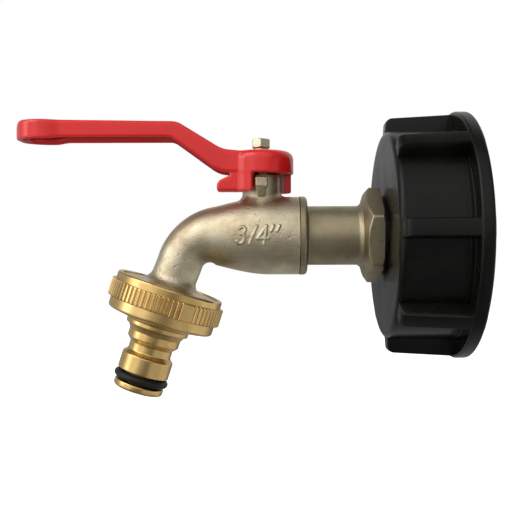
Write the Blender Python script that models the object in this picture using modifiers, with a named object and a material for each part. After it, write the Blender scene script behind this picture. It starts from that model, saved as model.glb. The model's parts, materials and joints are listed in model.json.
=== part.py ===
"""Tap adapter for a bulk liquid container.

A moulded screw cap takes the container's outlet. A turned tailpiece carries a
small ball valve body with a cranked lever, and the body's spout ends in a
knurled hose connector with a click nozzle.

The origin is the centre of the cap's mouth. +X points out of the mouth, +Z is
up, and the spout and the lever lie towards -X. All sizes are in metres.
"""
import math

import bmesh
import bpy
from mathutils import Matrix

# Clearances
SEAT_GAP = 0.0003
RUNNING_GAP = 0.0003

# How far a cutter runs past what it cuts
PAST = 0.0020

# Cap
FLANGE_RADIUS = 0.0390
FLANGE_THICKNESS = 0.0041
FLANGE_EDGE = 0.0008
FLANGE_FILLET = 0.0018
CAP_DEPTH = 0.0254
DRUM_RADIUS = 0.0330
DRUM_FILLET = 0.0030
CAP_BORE_RADIUS = 0.0300
CAP_MOUTH_CHAMFER = 0.0009
CAP_PLATE = 0.0032
BOSS_RADIUS = 0.0150
BOSS_LENGTH = 0.0072
RIB_COUNT = 8
RIB_PHASE = math.radians(2.4)
RIB_ROOT_WIDTH = 0.0056
RIB_TIP_WIDTH = 0.0046
RIB_FRONT_RADIUS = 0.0372
RIB_BACK_RADIUS = 0.0384
RIB_START = 0.0011
RIB_ROUND = 0.0009

# Gasket in the cap and seal under the hexagon
GASKET_INNER_RADIUS = 0.0215
GASKET_THICKNESS = 0.0030
SEAL_OUTER_RADIUS = 0.0126
SEAL_THICKNESS = 0.0006

# Inlet tailpiece
STUB_RADIUS = 0.0103
STUB_OVERHANG = 0.0010
HEX_ACROSS_FLATS = 0.0266
HEX_LENGTH = 0.0064
HEX_CONE = 0.0015
HEX_CORNER = 0.0018
HEX_EDGE = 0.0005
HEX_TURN = math.radians(8.3)
SHANK_RADIUS = 0.0094
SHANK_LENGTH = 0.0168
SHANK_BORE_RADIUS = 0.0062
COLLAR_RADIUS = 0.0125
COLLAR_LENGTH = 0.0023
COLLAR_ROUND = 0.0013
INSERT_RADIUS = 0.0099
INSERT_GROOVE_RADIUS = 0.0095
INSERT_GROOVE_WIDTH = 0.0018
O_RING_CORD = 0.0011

# Ball valve
BALL_RADIUS = 0.0078
BALL_BORE_RADIUS = 0.0046
SEAT_INNER_RADIUS = 0.0048
SEAT_OUTER_RADIUS = 0.0090
SEAT_HEEL = 0.0074
SEAT_LIP_GAP = 0.0004
SLOT_WIDTH = 0.0026
SLOT_DEPTH = 0.0022
STEM_FROM_COLLAR = 0.0121

# Body
BARREL_RADIUS = 0.0124
TAPER_START = 0.0086
TAPER_LENGTH = 0.0320
CORNER_FROM_STEM = 0.0233
BEND_RADIUS = 0.0120
SPOUT_TILT = math.radians(18.2)
SPOUT_RADIUS = 0.00725
SPOUT_BORE_RADIUS = 0.0046
SPOUT_DROP = 0.01735
OUTLET_OFFSET = 0.00045
NECK_RADIUS = 0.0060
NECK_TOP = 0.0192
NECK_FLARE = 0.0012
LUG_WIDTH = 0.0041
LUG_REACH = 0.0090
LUG_TOP = 0.0184
LUG_STEP = 0.0150
LUG_FOOT_REACH = 0.0074
LUG_ROUND = 0.0007
SHOULDER_RADIUS = 0.0154
SHOULDER_THICKNESS = 0.0012
SHOULDER_DOME = 0.0006
SHOULDER_FILLET = 0.0033
OUTLET_THREAD_RADIUS = 0.0130
OUTLET_RELIEF_RADIUS = 0.0125
OUTLET_LENGTH = 0.0078

# Stem
STEM_RADIUS = 0.0033
STEM_FLANGE_RADIUS = 0.0044
STEM_FLANGE_THICKNESS = 0.0016
STEM_GROOVE_DEPTH = 0.0014
STEM_GROOVE_WIDTH = 0.0017
STEM_GROOVE_LOWER = 0.0131
STEM_GROOVE_UPPER = 0.0164
STEM_TANG_WIDTH = 0.0054
SQUARE_DRIVE = 0.0046
SQUARE_TOP = 0.0256
THREAD_END_RADIUS = 0.0013
THREAD_END_RISE = 0.0003
THRUST_WASHER_THICKNESS = 0.0008

# Lever
HUB_RADIUS = 0.0103
HUB_TOP = 0.0268
HUB_CEILING_GAP = 0.0003
HUB_ROUND = 0.0026
SKIRT_RADIUS = 0.0100
SKIRT_WALL = 0.0024
SKIRT_BOTTOM = 0.0137
LEVER_TRAVEL = math.radians(90.0)
STOP_GAP = 0.0003
GRIP_LENGTH = 0.0779
GRIP_TOP = 0.0357
GRIP_RISE = 0.0008
GRIP_DEPTH = 0.0050
GRIP_HALF_WIDTH = 0.0080
TIP_RADIUS = 0.0093
TIP_ROUND = 0.0030
TIP_UNDER = 0.0013
ARM_ROOT_HALF_WIDTH = 0.0074
ARM_WALL = 0.0019
ARM_ROOF = 0.0024
ARM_EDGE = 0.0007
BEAK_REACH = 0.0140
BEAK_FRONT = 0.0072
BEAK_BACK = 0.0020
BEAK_SLOPE = 0.0011
BEAK_NOTCH = 0.0040
BEAK_TIP_TOP = 0.0028
BEAK_EDGE = 0.0006
BEAK_LIFT = 0.0008
CRANK_TOP = 0.0262
CRANK_FOOT = 0.0136
CRANK_EASE = 0.0016
CRANK_DIP = 0.0010
FOOT_RISE = 0.0012
FOOT_UNDER = 0.0035
FOOT_DROP = 0.0046
ARM_LIFT = 0.0004

# Handle nut and washer
NUT_ACROSS_FLATS = 0.0055
NUT_THICKNESS = 0.0028
NUT_CONE = 0.0004
NUT_TURN = math.radians(28.0)
WASHER_RADIUS = 0.0027
WASHER_THICKNESS = 0.0006
WASHER_SPLIT = 0.0005

# Hose connector
RIM_RADIUS = 0.0173
RIM_DEPTH = 0.0021
RIM_TOP = -0.0005
KNURL_RADIUS = 0.0185
KNURL_DEPTH = 0.0006
KNURL_LENGTH = 0.0055
KNURL_TEETH = 72
KNURL_FLANK = 0.33
KNURL_PLAIN_CENTRE = math.radians(28.0)
KNURL_PLAIN_WIDTH = math.radians(14.0)
BAND_RADIUS = 0.0172
BAND_END = 0.0110
BAND_CONE = 0.0016
NOZZLE_SHOULDER_RADIUS = 0.0102
NOZZLE_SHOULDER_END = 0.0140
NOZZLE_STEP_CONE = 0.0008
NOZZLE_STEP_RADIUS = 0.0084
NOZZLE_STEP_END = 0.0182
NOZZLE_NECK_CONE = 0.0013
NOZZLE_NECK_RADIUS = 0.0070
NOZZLE_NECK_END = 0.0221
NOZZLE_COLLAR_RADIUS = 0.0083
NOZZLE_COLLAR_START = 0.0233
NOZZLE_GROOVE_START = 0.0288
NOZZLE_GROOVE_END = 0.0322
NOZZLE_GROOVE_RADIUS = 0.0062
NOZZLE_TIP_RADIUS = 0.0080
NOZZLE_END = 0.0345
NOZZLE_END_CHAMFER = 0.0006
NOZZLE_BORE_RADIUS = 0.0050
NOZZLE_O_RING_CORD = 0.0023
CONNECTOR_WASHER_THICKNESS = 0.0018

# Steps along the body's centre line, and facets round a turn
BARREL_STEPS = 8
BEND_STEPS = 7
COARSE = 18
MEDIUM = 24
FINE = 32
CAP_STEPS = 48
CORD_STEPS = 6

# Places along the inlet axis
CAP_FACE_X = -CAP_DEPTH
HEX_RIGHT_X = CAP_FACE_X - SEAL_THICKNESS - 2 * SEAT_GAP
HEX_LEFT_X = HEX_RIGHT_X - HEX_LENGTH
COLLAR_RIGHT_X = HEX_LEFT_X - SHANK_LENGTH
COLLAR_LEFT_X = COLLAR_RIGHT_X - COLLAR_LENGTH
BODY_MOUTH_X = COLLAR_LEFT_X - SEAT_GAP
STEM_X = COLLAR_LEFT_X - STEM_FROM_COLLAR
CORNER_X = STEM_X - CORNER_FROM_STEM
PLATE_INNER_X = CAP_FACE_X + CAP_PLATE

# Places on the valve, from the stem's axis and the inlet axis
SEAT_LIP = STEM_FLANGE_RADIUS + SEAT_LIP_GAP
CHAMBER_RADIUS = SEAT_OUTER_RADIUS + SEAT_GAP
CHAMBER_HALF = SEAT_HEEL + SEAT_GAP
STEM_FLANGE_BOTTOM = BALL_RADIUS + 2 * RUNNING_GAP
STEM_FLANGE_TOP = STEM_FLANGE_BOTTOM + STEM_FLANGE_THICKNESS
THRUST_BOTTOM = STEM_FLANGE_TOP + SEAT_GAP
THRUST_TOP = THRUST_BOTTOM + THRUST_WASHER_THICKNESS
STEM_BORE_RADIUS = STEM_RADIUS + RUNNING_GAP
HUB_CEILING = NECK_TOP + HUB_CEILING_GAP
WINDOW_TOP = HUB_CEILING + RUNNING_GAP / 2
WASHER_BOTTOM = HUB_TOP + SEAT_GAP
NUT_BOTTOM = WASHER_BOTTOM + WASHER_THICKNESS + SEAT_GAP
NUT_TOP = NUT_BOTTOM + NUT_THICKNESS

# Places on the connector, along the spout's axis from the shoulder's plane
FLOOR_DEPTH = OUTLET_LENGTH + CONNECTOR_WASHER_THICKNESS + 2 * SEAT_GAP

# Frames whose local Z is the axis of what is turned in them
INLET_FRAME = Matrix.Rotation(math.radians(90), 4, "Y")
STEM_FRAME = Matrix.Translation((STEM_X, 0, 0))
SPOUT_AXIS = (-math.sin(SPOUT_TILT), -math.cos(SPOUT_TILT))
OUTLET_X = CORNER_X + SPOUT_DROP * SPOUT_AXIS[0] + OUTLET_OFFSET * SPOUT_AXIS[1]
OUTLET_Z = SPOUT_DROP * SPOUT_AXIS[1] - OUTLET_OFFSET * SPOUT_AXIS[0]
SPOUT_FRAME = (Matrix.Translation((OUTLET_X, 0, OUTLET_Z))
               @ Matrix.Rotation(math.pi + SPOUT_TILT, 4, "Y"))
SIDE_FRAME = STEM_FRAME @ Matrix.Rotation(math.radians(90), 4, "X")


def clear_scene():
    """Remove whatever the scene holds."""
    for obj in list(bpy.data.objects):
        bpy.data.objects.remove(obj, do_unlink=True)


def collection(name):
    """Make a collection under the scene's own."""
    group = bpy.data.collections.new(name)
    bpy.context.scene.collection.children.link(group)
    return group


def principled(name, colour, roughness, metallic=0.0):
    """Make a material with one Principled shader."""
    material = bpy.data.materials.new(name)
    material.use_nodes = True
    shader = material.node_tree.nodes["Principled BSDF"]
    shader.inputs["Base Color"].default_value = (*colour, 1.0)
    shader.inputs["Roughness"].default_value = roughness
    shader.inputs["Metallic"].default_value = metallic
    material.diffuse_color = (*colour, 1.0)
    return material


def arc(centre, radius, start, end, steps):
    """Points of an arc, from the start angle to the end angle in degrees."""
    points = []
    for i in range(steps + 1):
        angle = math.radians(start + (end - start) * i / steps)
        points.append((centre[0] + radius * math.cos(angle), centre[1] + radius * math.sin(angle)))
    return points


def signed_area(points):
    """Area of a flat outline, positive where it runs anticlockwise."""
    total = 0.0
    for (ax, ay), (bx, by) in zip(points, points[1:] + points[:1]):
        total += ax * by - bx * ay
    return total / 2


def link(obj, group):
    """Put an object in a collection."""
    group.objects.link(obj)
    return obj


def turned(name, outline, group, frame, steps, closed=True):
    """Turn an outline of (radius, height) points round the frame's Z axis.

    A closed outline is a ring. An open one starts and ends on the axis.
    """
    if signed_area(outline) > 0:
        outline = outline[::-1]
    mesh = bpy.data.meshes.new(name)
    edges = [(i, i + 1) for i in range(len(outline) - 1)]
    if closed:
        edges.append((len(outline) - 1, 0))
    mesh.from_pydata([(r, 0, z) for r, z in outline], edges, [])
    obj = link(bpy.data.objects.new(name, mesh), group)
    screw = obj.modifiers.new("Turn", "SCREW")
    screw.steps = steps
    screw.render_steps = steps
    screw.use_merge_vertices = True
    screw.merge_threshold = 0.00001
    obj.matrix_world = frame
    return obj


def to_mesh(obj, name, group):
    """Turn a curve object into a welded mesh object in the same place."""
    bpy.context.view_layer.update()
    graph = bpy.context.evaluated_depsgraph_get()
    mesh = bpy.data.meshes.new_from_object(obj.evaluated_get(graph))
    work = bmesh.new()
    work.from_mesh(mesh)
    bmesh.ops.remove_doubles(work, verts=work.verts, dist=0.000001)
    bmesh.ops.recalc_face_normals(work, faces=work.faces)
    work.to_mesh(mesh)
    work.free()
    made = link(bpy.data.objects.new(name, mesh), group)
    made.matrix_world = obj.matrix_world.copy()
    bpy.data.objects.remove(obj, do_unlink=True)
    return made


def slab(name, outline, low, high, group, frame):
    """A flat outline with a thickness, from low to high along the frame's Z."""
    curve = bpy.data.curves.new(name, "CURVE")
    curve.dimensions = "2D"
    curve.fill_mode = "BOTH"
    curve.extrude = (high - low) / 2
    spline = curve.splines.new("POLY")
    spline.points.add(len(outline) - 1)
    for point, (x, y) in zip(spline.points, outline):
        point.co = (x, y, 0, 1)
    spline.use_cyclic_u = True
    obj = link(bpy.data.objects.new(name + "_outline", curve), group)
    obj.matrix_world = frame @ Matrix.Translation((0, 0, (low + high) / 2))
    return to_mesh(obj, name, group)


def tube(name, stations, group, sides):
    """A tube through (x, z, radius) stations in the plane of the spout."""
    curve = bpy.data.curves.new(name, "CURVE")
    curve.dimensions = "3D"
    curve.bevel_depth = 1.0
    curve.bevel_resolution = sides // 2 - 2
    curve.use_fill_caps = True
    spline = curve.splines.new("POLY")
    spline.points.add(len(stations) - 1)
    for point, (x, z, radius) in zip(spline.points, stations):
        point.co = (x, 0, z, 1)
        point.radius = radius
    obj = link(bpy.data.objects.new(name + "_path", curve), group)
    return to_mesh(obj, name, group)


def boolean(target, other, operation):
    """Join, cut or intersect the target with another object."""
    modifier = target.modifiers.new(operation.title(), "BOOLEAN")
    modifier.operation = operation
    modifier.solver = "EXACT"
    modifier.object = other
    other.hide_render = True
    other.display_type = "WIRE"


def bevel(obj, width, segments, angle):
    """Round the edges that are sharper than an angle in degrees."""
    modifier = obj.modifiers.new("Round", "BEVEL")
    modifier.width = width
    modifier.segments = segments
    modifier.limit_method = "ANGLE"
    modifier.angle_limit = math.radians(angle)


def settle(obj, material, sharp=32.0):
    """Make the modifiers real, shade the round faces smooth and give the finish."""
    bpy.context.view_layer.update()
    graph = bpy.context.evaluated_depsgraph_get()
    mesh = bpy.data.meshes.new_from_object(obj.evaluated_get(graph))
    obj.modifiers.clear()
    obj.data = mesh
    mesh.shade_smooth()
    mesh.set_sharp_from_angle(angle=math.radians(sharp))
    mesh.materials.clear()
    mesh.materials.append(material)
    return obj


def ring(name, inner, outer, low, high, group, frame, material, steps=MEDIUM):
    """A flat ring from low to high along the frame's axis."""
    outline = [(outer, high), (outer, low), (inner, low), (inner, high)]
    return settle(turned(name, outline, group, frame, steps), material)


def o_ring(name, radius, cord, height, group, frame, material, steps=COARSE):
    """A round cord ring, its cord's centre at a radius and a height."""
    outline = arc((radius, height), cord / 2, 0, 360, CORD_STEPS)[:-1]
    return settle(turned(name, outline, group, frame, steps), material)


def hexagon(across_flats, turn):
    """Corners of a hexagon, turned by an angle."""
    reach = across_flats / math.sqrt(3)
    return [(reach * math.cos(turn + i * math.pi / 3), reach * math.sin(turn + i * math.pi / 3))
            for i in range(6)]


def threaded_cap(parts, cutters, plastic):
    """The moulded cap: drum, rim flange, bored boss and grip ribs."""
    fillet = arc((DRUM_RADIUS - DRUM_FILLET, CAP_FACE_X + DRUM_FILLET), DRUM_FILLET, 0, -90, 4)
    flare = arc((DRUM_RADIUS + FLANGE_FILLET, -FLANGE_THICKNESS - FLANGE_FILLET),
                FLANGE_FILLET, 90, 180, 3)
    outer_edge = arc((FLANGE_RADIUS - FLANGE_EDGE, -FLANGE_EDGE), FLANGE_EDGE, 90, 0, 2)
    inner_edge = arc((FLANGE_RADIUS - FLANGE_EDGE, -FLANGE_THICKNESS + FLANGE_EDGE), FLANGE_EDGE, 0, -90, 2)
    hole = STUB_RADIUS + SEAT_GAP
    boss_end = PLATE_INNER_X + BOSS_LENGTH
    inside = [(hole, CAP_FACE_X), (hole, boss_end), (BOSS_RADIUS, boss_end), (BOSS_RADIUS, PLATE_INNER_X),
              (CAP_BORE_RADIUS, PLATE_INNER_X), (CAP_BORE_RADIUS, -CAP_MOUTH_CHAMFER),
              (CAP_BORE_RADIUS + CAP_MOUTH_CHAMFER, 0)]
    cap = turned("threaded_cap", outer_edge + inner_edge + flare + fillet + inside, parts, INLET_FRAME,
                 CAP_STEPS)
    for i in range(RIB_COUNT):
        boolean(cap, grip_rib(i, cutters), "UNION")
    return settle(cap, plastic)


def grip_rib(index, cutters):
    """One rib: a tapered bar that leans out towards the rim flange."""
    root = DRUM_RADIUS - DRUM_FILLET / 2
    front = CAP_FACE_X + RIB_START
    back = -FLANGE_THICKNESS / 2
    corners = []
    for x, reach in ((front, RIB_FRONT_RADIUS), (back, RIB_BACK_RADIUS)):
        corners += [(x, -root, -RIB_ROOT_WIDTH / 2), (x, -root, RIB_ROOT_WIDTH / 2),
                    (x, -reach, RIB_TIP_WIDTH / 2), (x, -reach, -RIB_TIP_WIDTH / 2)]
    work = bmesh.new()
    bmesh.ops.create_cube(work, size=1.0)
    for vert in work.verts:
        place = 4 if vert.co.x > 0 else 0
        if vert.co.y < 0:
            place += 2 if vert.co.z > 0 else 3
        elif vert.co.z > 0:
            place += 1
        vert.co = corners[place]
    mesh = bpy.data.meshes.new("grip_rib")
    work.to_mesh(mesh)
    work.free()
    rib = link(bpy.data.objects.new(f"grip_rib_{index + 1}", mesh), cutters)
    bevel(rib, RIB_ROUND, 2, 30)
    turn = -RIB_PHASE + index * 2 * math.pi / RIB_COUNT
    rib.matrix_world = Matrix.Rotation(turn, 4, "X")
    return rib


def cap_gasket(parts, rubber):
    """Flat ring on the cap's inner face."""
    low = PLATE_INNER_X + SEAT_GAP
    return ring("cap_gasket", GASKET_INNER_RADIUS, CAP_BORE_RADIUS - SEAT_GAP, low, low + GASKET_THICKNESS,
                parts, INLET_FRAME, rubber, FINE)


def tailpiece_seal(parts, rubber):
    """Thin ring between the hexagon and the cap's face."""
    low = HEX_RIGHT_X + SEAT_GAP
    return ring("tailpiece_seal", STUB_RADIUS + SEAT_GAP, SEAL_OUTER_RADIUS, low, low + SEAL_THICKNESS,
                parts, INLET_FRAME, rubber)


def inlet_tailpiece(parts, cutters, nickel):
    """Turned tailpiece: insert, collar, shank, hexagon and stub, bored through."""
    insert_x = STEM_X + CHAMBER_HALF
    stub_x = PLATE_INNER_X + BOSS_LENGTH + STUB_OVERHANG
    groove_x = COLLAR_LEFT_X - INSERT_GROOVE_WIDTH
    collar = arc((COLLAR_RADIUS - COLLAR_ROUND, COLLAR_RIGHT_X - COLLAR_ROUND), COLLAR_ROUND, 0, 90, 3)
    outline = [(0, stub_x), (STUB_RADIUS, stub_x), (STUB_RADIUS, HEX_RIGHT_X - HEX_EDGE),
               (SHANK_RADIUS, HEX_RIGHT_X - HEX_LENGTH / 2), (SHANK_RADIUS, COLLAR_RIGHT_X)]
    outline += collar[::-1]
    outline += [(COLLAR_RADIUS, COLLAR_LEFT_X), (INSERT_GROOVE_RADIUS, COLLAR_LEFT_X),
                (INSERT_GROOVE_RADIUS, groove_x), (INSERT_RADIUS, groove_x), (INSERT_RADIUS, insert_x),
                (0, insert_x)]
    piece = turned("inlet_tailpiece", outline, parts, INLET_FRAME, FINE, closed=False)
    boolean(piece, tailpiece_hexagon(cutters), "UNION")
    boolean(piece, tailpiece_bore(insert_x, stub_x, cutters), "DIFFERENCE")
    return settle(piece, nickel)


def tailpiece_hexagon(cutters):
    """Hexagon with a cone on the shank's side and a light edge on the cap's side."""
    reach = HEX_ACROSS_FLATS / math.sqrt(3)
    prism = slab("tailpiece_hexagon", hexagon(HEX_ACROSS_FLATS, HEX_TURN), HEX_LEFT_X - HEX_EDGE,
                 HEX_RIGHT_X, cutters, INLET_FRAME)
    cone = [(0, HEX_RIGHT_X + HEX_EDGE), (reach - HEX_EDGE, HEX_RIGHT_X + HEX_EDGE),
            (reach - HEX_EDGE, HEX_RIGHT_X), (reach, HEX_RIGHT_X - HEX_EDGE),
            (reach, HEX_LEFT_X + HEX_CONE + HEX_CORNER), (HEX_ACROSS_FLATS / 2, HEX_LEFT_X + HEX_CONE),
            (SHANK_RADIUS - HEX_EDGE, HEX_LEFT_X), (0, HEX_LEFT_X)]
    boolean(prism, turned("hexagon_cone", cone, cutters, INLET_FRAME, FINE, closed=False), "INTERSECT")
    return prism


def tailpiece_bore(insert_x, stub_x, cutters):
    """Waterway through the tailpiece, narrowed at the ball's seat."""
    outline = [(0, stub_x + PAST), (SHANK_BORE_RADIUS, stub_x + PAST),
               (SHANK_BORE_RADIUS, BODY_MOUTH_X + SHANK_BORE_RADIUS - SEAT_INNER_RADIUS),
               (SEAT_INNER_RADIUS, BODY_MOUTH_X), (SEAT_INNER_RADIUS, insert_x - PAST),
               (0, insert_x - PAST)]
    return turned("tailpiece_bore", outline, cutters, INLET_FRAME, COARSE, closed=False)


def ball_seat(name, side, parts, white):
    """Seat ring whose face is hollowed to the ball; side is 1 to the inlet, -1 to the outlet."""
    hollow = BALL_RADIUS + RUNNING_GAP
    lip_radius = math.sqrt(hollow ** 2 - SEAT_LIP ** 2)
    start = math.degrees(math.asin(SEAT_LIP / hollow))
    end = math.degrees(math.acos(SEAT_INNER_RADIUS / hollow))
    face = arc((0, 0), hollow, start, end, 3)
    outline = [(SEAT_OUTER_RADIUS, SEAT_HEEL), (SEAT_OUTER_RADIUS, SEAT_LIP), (lip_radius, SEAT_LIP)]
    outline += face[1:]
    outline += [(SEAT_INNER_RADIUS, SEAT_HEEL)]
    outline = [(radius, side * height) for radius, height in outline]
    return settle(turned(name, outline, parts, STEM_FRAME @ INLET_FRAME, MEDIUM), white)


def valve_ball(parts, cutters, chrome):
    """Ball with a bore along the pipe and a slot across it for the stem's tang."""
    work = bmesh.new()
    bmesh.ops.create_uvsphere(work, u_segments=MEDIUM, v_segments=MEDIUM // 2, radius=BALL_RADIUS,
                              matrix=INLET_FRAME)
    mesh = bpy.data.meshes.new("ball")
    work.to_mesh(mesh)
    work.free()
    ball = link(bpy.data.objects.new("ball", mesh), parts)
    ball.matrix_world = STEM_FRAME
    reach = 2 * BALL_RADIUS
    bore = [(0, reach), (BALL_BORE_RADIUS, reach), (BALL_BORE_RADIUS, -reach), (0, -reach)]
    boolean(ball, turned("ball_bore", bore, cutters, STEM_FRAME @ INLET_FRAME, MEDIUM, closed=False),
            "DIFFERENCE")
    slot = block("ball_slot", SLOT_WIDTH, reach, BALL_RADIUS - SLOT_DEPTH, reach, cutters)
    boolean(ball, slot, "DIFFERENCE")
    return settle(ball, chrome)


def block(name, width, depth, low, high, group):
    """A block on the stem's axis: width along X, depth along Y, from low to high."""
    work = bmesh.new()
    bmesh.ops.create_cube(work, size=1.0)
    bmesh.ops.scale(work, vec=(width, depth, high - low), verts=work.verts)
    bmesh.ops.translate(work, vec=(0, 0, (low + high) / 2), verts=work.verts)
    mesh = bpy.data.meshes.new(name)
    work.to_mesh(mesh)
    work.free()
    obj = link(bpy.data.objects.new(name, mesh), group)
    obj.matrix_world = STEM_FRAME
    return obj


def body_stations():
    """Centre line and radius of the cast body, from its mouth to the outlet shoulder."""
    tangent = BEND_RADIUS * math.tan((math.pi / 2 - SPOUT_TILT) / 2)
    bend_x = CORNER_X + tangent
    places = []
    for i in range(BARREL_STEPS + 1):
        run = (BODY_MOUTH_X - bend_x) * i / BARREL_STEPS
        places.append((BODY_MOUTH_X - run, 0.0, run))
    bend_angle = math.pi / 2 - SPOUT_TILT
    for i in range(1, BEND_STEPS + 1):
        turn = bend_angle * i / BEND_STEPS
        run = BODY_MOUTH_X - bend_x + BEND_RADIUS * turn
        places.append((bend_x - BEND_RADIUS * math.sin(turn), BEND_RADIUS * (math.cos(turn) - 1), run))
    places.append((OUTLET_X, OUTLET_Z, TAPER_START + TAPER_LENGTH))
    return [(x, z, body_radius(run)) for x, z, run in places]


def body_radius(run):
    """Outer radius at a distance from the mouth: an eased taper from barrel to spout."""
    share = min(max((run - TAPER_START) / TAPER_LENGTH, 0.0), 1.0)
    return SPOUT_RADIUS + (BARREL_RADIUS - SPOUT_RADIUS) * (1 + math.cos(math.pi * share)) / 2


def tap_body(parts, cutters, nickel):
    """Cast body: barrel, elbow and spout with neck, stop lug, outlet shoulder and waterways."""
    body = tube("tap_body", body_stations(), parts, MEDIUM)
    boolean(body, stem_neck(cutters), "UNION")
    boolean(body, stop_lug(cutters), "UNION")
    boolean(body, outlet_shoulder(cutters), "UNION")
    boolean(body, valve_chamber(cutters), "DIFFERENCE")
    boolean(body, spout_waterway(cutters), "DIFFERENCE")
    boolean(body, stem_bore(cutters), "DIFFERENCE")
    return settle(body, nickel)


def stem_neck(cutters):
    """Round neck for the stem, flared where it meets the barrel."""
    foot = BARREL_RADIUS - NECK_FLARE / 2
    flare = arc((NECK_RADIUS + NECK_FLARE, foot + NECK_FLARE), NECK_FLARE, 180, 270, 3)
    outline = [(0, NECK_TOP), (NECK_RADIUS, NECK_TOP)] + flare
    outline += [(NECK_RADIUS + NECK_FLARE, THRUST_TOP / 2), (0, THRUST_TOP / 2)]
    return turned("stem_neck", outline, cutters, STEM_FRAME, MEDIUM, closed=False)


def stop_lug(cutters):
    """Lug on the neck's front that the lever's skirt turns against."""
    inner = -NECK_RADIUS / 2
    foot = BARREL_RADIUS - LUG_ROUND
    outline = [(inner, LUG_TOP), (-LUG_REACH, LUG_TOP), (-LUG_REACH, LUG_STEP),
               (-LUG_FOOT_REACH, LUG_STEP - (LUG_REACH - LUG_FOOT_REACH)),
               (-LUG_FOOT_REACH, foot - 2 * LUG_ROUND), (inner, foot - 2 * LUG_ROUND)]
    frame = STEM_FRAME @ Matrix(((0, 0, 1, 0), (1, 0, 0, 0), (0, 1, 0, 0), (0, 0, 0, 1)))
    lug = slab("stop_lug", outline, -LUG_WIDTH / 2, LUG_WIDTH / 2, cutters, frame)
    bevel(lug, LUG_ROUND, 2, 30)
    return lug


def outlet_shoulder(cutters):
    """Flared shoulder above the connector and the threaded outlet inside it."""
    start = SPOUT_RADIUS - SEAT_GAP / 2
    top = -SHOULDER_DOME - SHOULDER_FILLET
    flare = arc((start + SHOULDER_FILLET, top), SHOULDER_FILLET, 180, 90, 4)
    relief = SHOULDER_THICKNESS + (OUTLET_THREAD_RADIUS - OUTLET_RELIEF_RADIUS) * 2
    outline = [(0, top)] + flare
    outline += [(SHOULDER_RADIUS, 0), (SHOULDER_RADIUS, SHOULDER_THICKNESS),
                (OUTLET_RELIEF_RADIUS, SHOULDER_THICKNESS), (OUTLET_RELIEF_RADIUS, relief),
                (OUTLET_THREAD_RADIUS, relief + OUTLET_THREAD_RADIUS - OUTLET_RELIEF_RADIUS),
                (OUTLET_THREAD_RADIUS, OUTLET_LENGTH), (0, OUTLET_LENGTH)]
    return turned("outlet_shoulder", outline, cutters, SPOUT_FRAME, FINE, closed=False)


def valve_chamber(cutters):
    """Room for the ball and its seats, with the tailpiece's bore in front of it."""
    past = BODY_MOUTH_X + PAST
    groove_x = COLLAR_LEFT_X - INSERT_GROOVE_WIDTH - SEAT_GAP
    groove_radius = INSERT_GROOVE_RADIUS + O_RING_CORD + 2 * SEAT_GAP
    insert = INSERT_RADIUS + SEAT_GAP
    insert_end = STEM_X + CHAMBER_HALF - SEAT_GAP
    outline = [(0, past), (groove_radius, past), (groove_radius, groove_x), (insert, groove_x),
               (insert, insert_end), (CHAMBER_RADIUS, insert_end), (CHAMBER_RADIUS, STEM_X - CHAMBER_HALF),
               (0, STEM_X - CHAMBER_HALF)]
    return turned("valve_chamber", outline, cutters, INLET_FRAME, MEDIUM, closed=False)


def spout_waterway(cutters):
    """Waterway from the ball through the bend and out of the spout."""
    stations = [(x, z, SPOUT_BORE_RADIUS) for x, z, _ in body_stations() if x < STEM_X]
    start = (STEM_X - CHAMBER_HALF / 2, 0.0, SPOUT_BORE_RADIUS)
    stations = [start] + [station for station in stations if station[0] < STEM_X - CHAMBER_HALF]
    reach = OUTLET_LENGTH + PAST
    stations[-1] = (OUTLET_X + reach * SPOUT_AXIS[0], OUTLET_Z + reach * SPOUT_AXIS[1], SPOUT_BORE_RADIUS)
    return tube("spout_waterway", stations, cutters, COARSE)


def stem_bore(cutters):
    """Bore of the neck, widened below for the stem's flange and its washer."""
    past = NECK_TOP + PAST
    wide = STEM_FLANGE_RADIUS + RUNNING_GAP
    shoulder = THRUST_TOP + SEAT_GAP
    outline = [(0, past), (STEM_BORE_RADIUS, past), (STEM_BORE_RADIUS, shoulder), (wide, shoulder),
               (wide, BALL_RADIUS / 2), (0, BALL_RADIUS / 2)]
    return turned("stem_bore", outline, cutters, STEM_FRAME, COARSE, closed=False)


def valve_stem(parts, cutters, brass):
    """Stem with flange, two seal grooves, square drive, threaded end and tang."""
    groove = STEM_RADIUS - STEM_GROOVE_DEPTH
    top = NUT_TOP + THREAD_END_RISE
    edge = THREAD_END_RISE
    outline = [(0, top), (THREAD_END_RADIUS - edge, top), (THREAD_END_RADIUS, top - edge),
               (THREAD_END_RADIUS, HUB_CEILING), (STEM_RADIUS, HUB_CEILING)]
    for low in (STEM_GROOVE_UPPER, STEM_GROOVE_LOWER):
        high = low + STEM_GROOVE_WIDTH
        outline += [(STEM_RADIUS, high), (groove, high), (groove, low), (STEM_RADIUS, low)]
    outline += [(STEM_RADIUS, STEM_FLANGE_TOP), (STEM_FLANGE_RADIUS, STEM_FLANGE_TOP),
                (STEM_FLANGE_RADIUS, STEM_FLANGE_BOTTOM), (0, STEM_FLANGE_BOTTOM)]
    stem = turned("stem", outline, parts, STEM_FRAME, COARSE, closed=False)
    drive = block("square_drive", SQUARE_DRIVE, SQUARE_DRIVE, STEM_GROOVE_UPPER + STEM_GROOVE_WIDTH,
                  SQUARE_TOP, cutters)
    boolean(stem, drive, "UNION")
    tang_bottom = BALL_RADIUS - SLOT_DEPTH + RUNNING_GAP
    tang = block("tang", SLOT_WIDTH - 2 * RUNNING_GAP, STEM_TANG_WIDTH, tang_bottom,
                 STEM_FLANGE_BOTTOM + STEM_FLANGE_THICKNESS / 2, cutters)
    boolean(stem, tang, "UNION")
    return settle(stem, brass)


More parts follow.
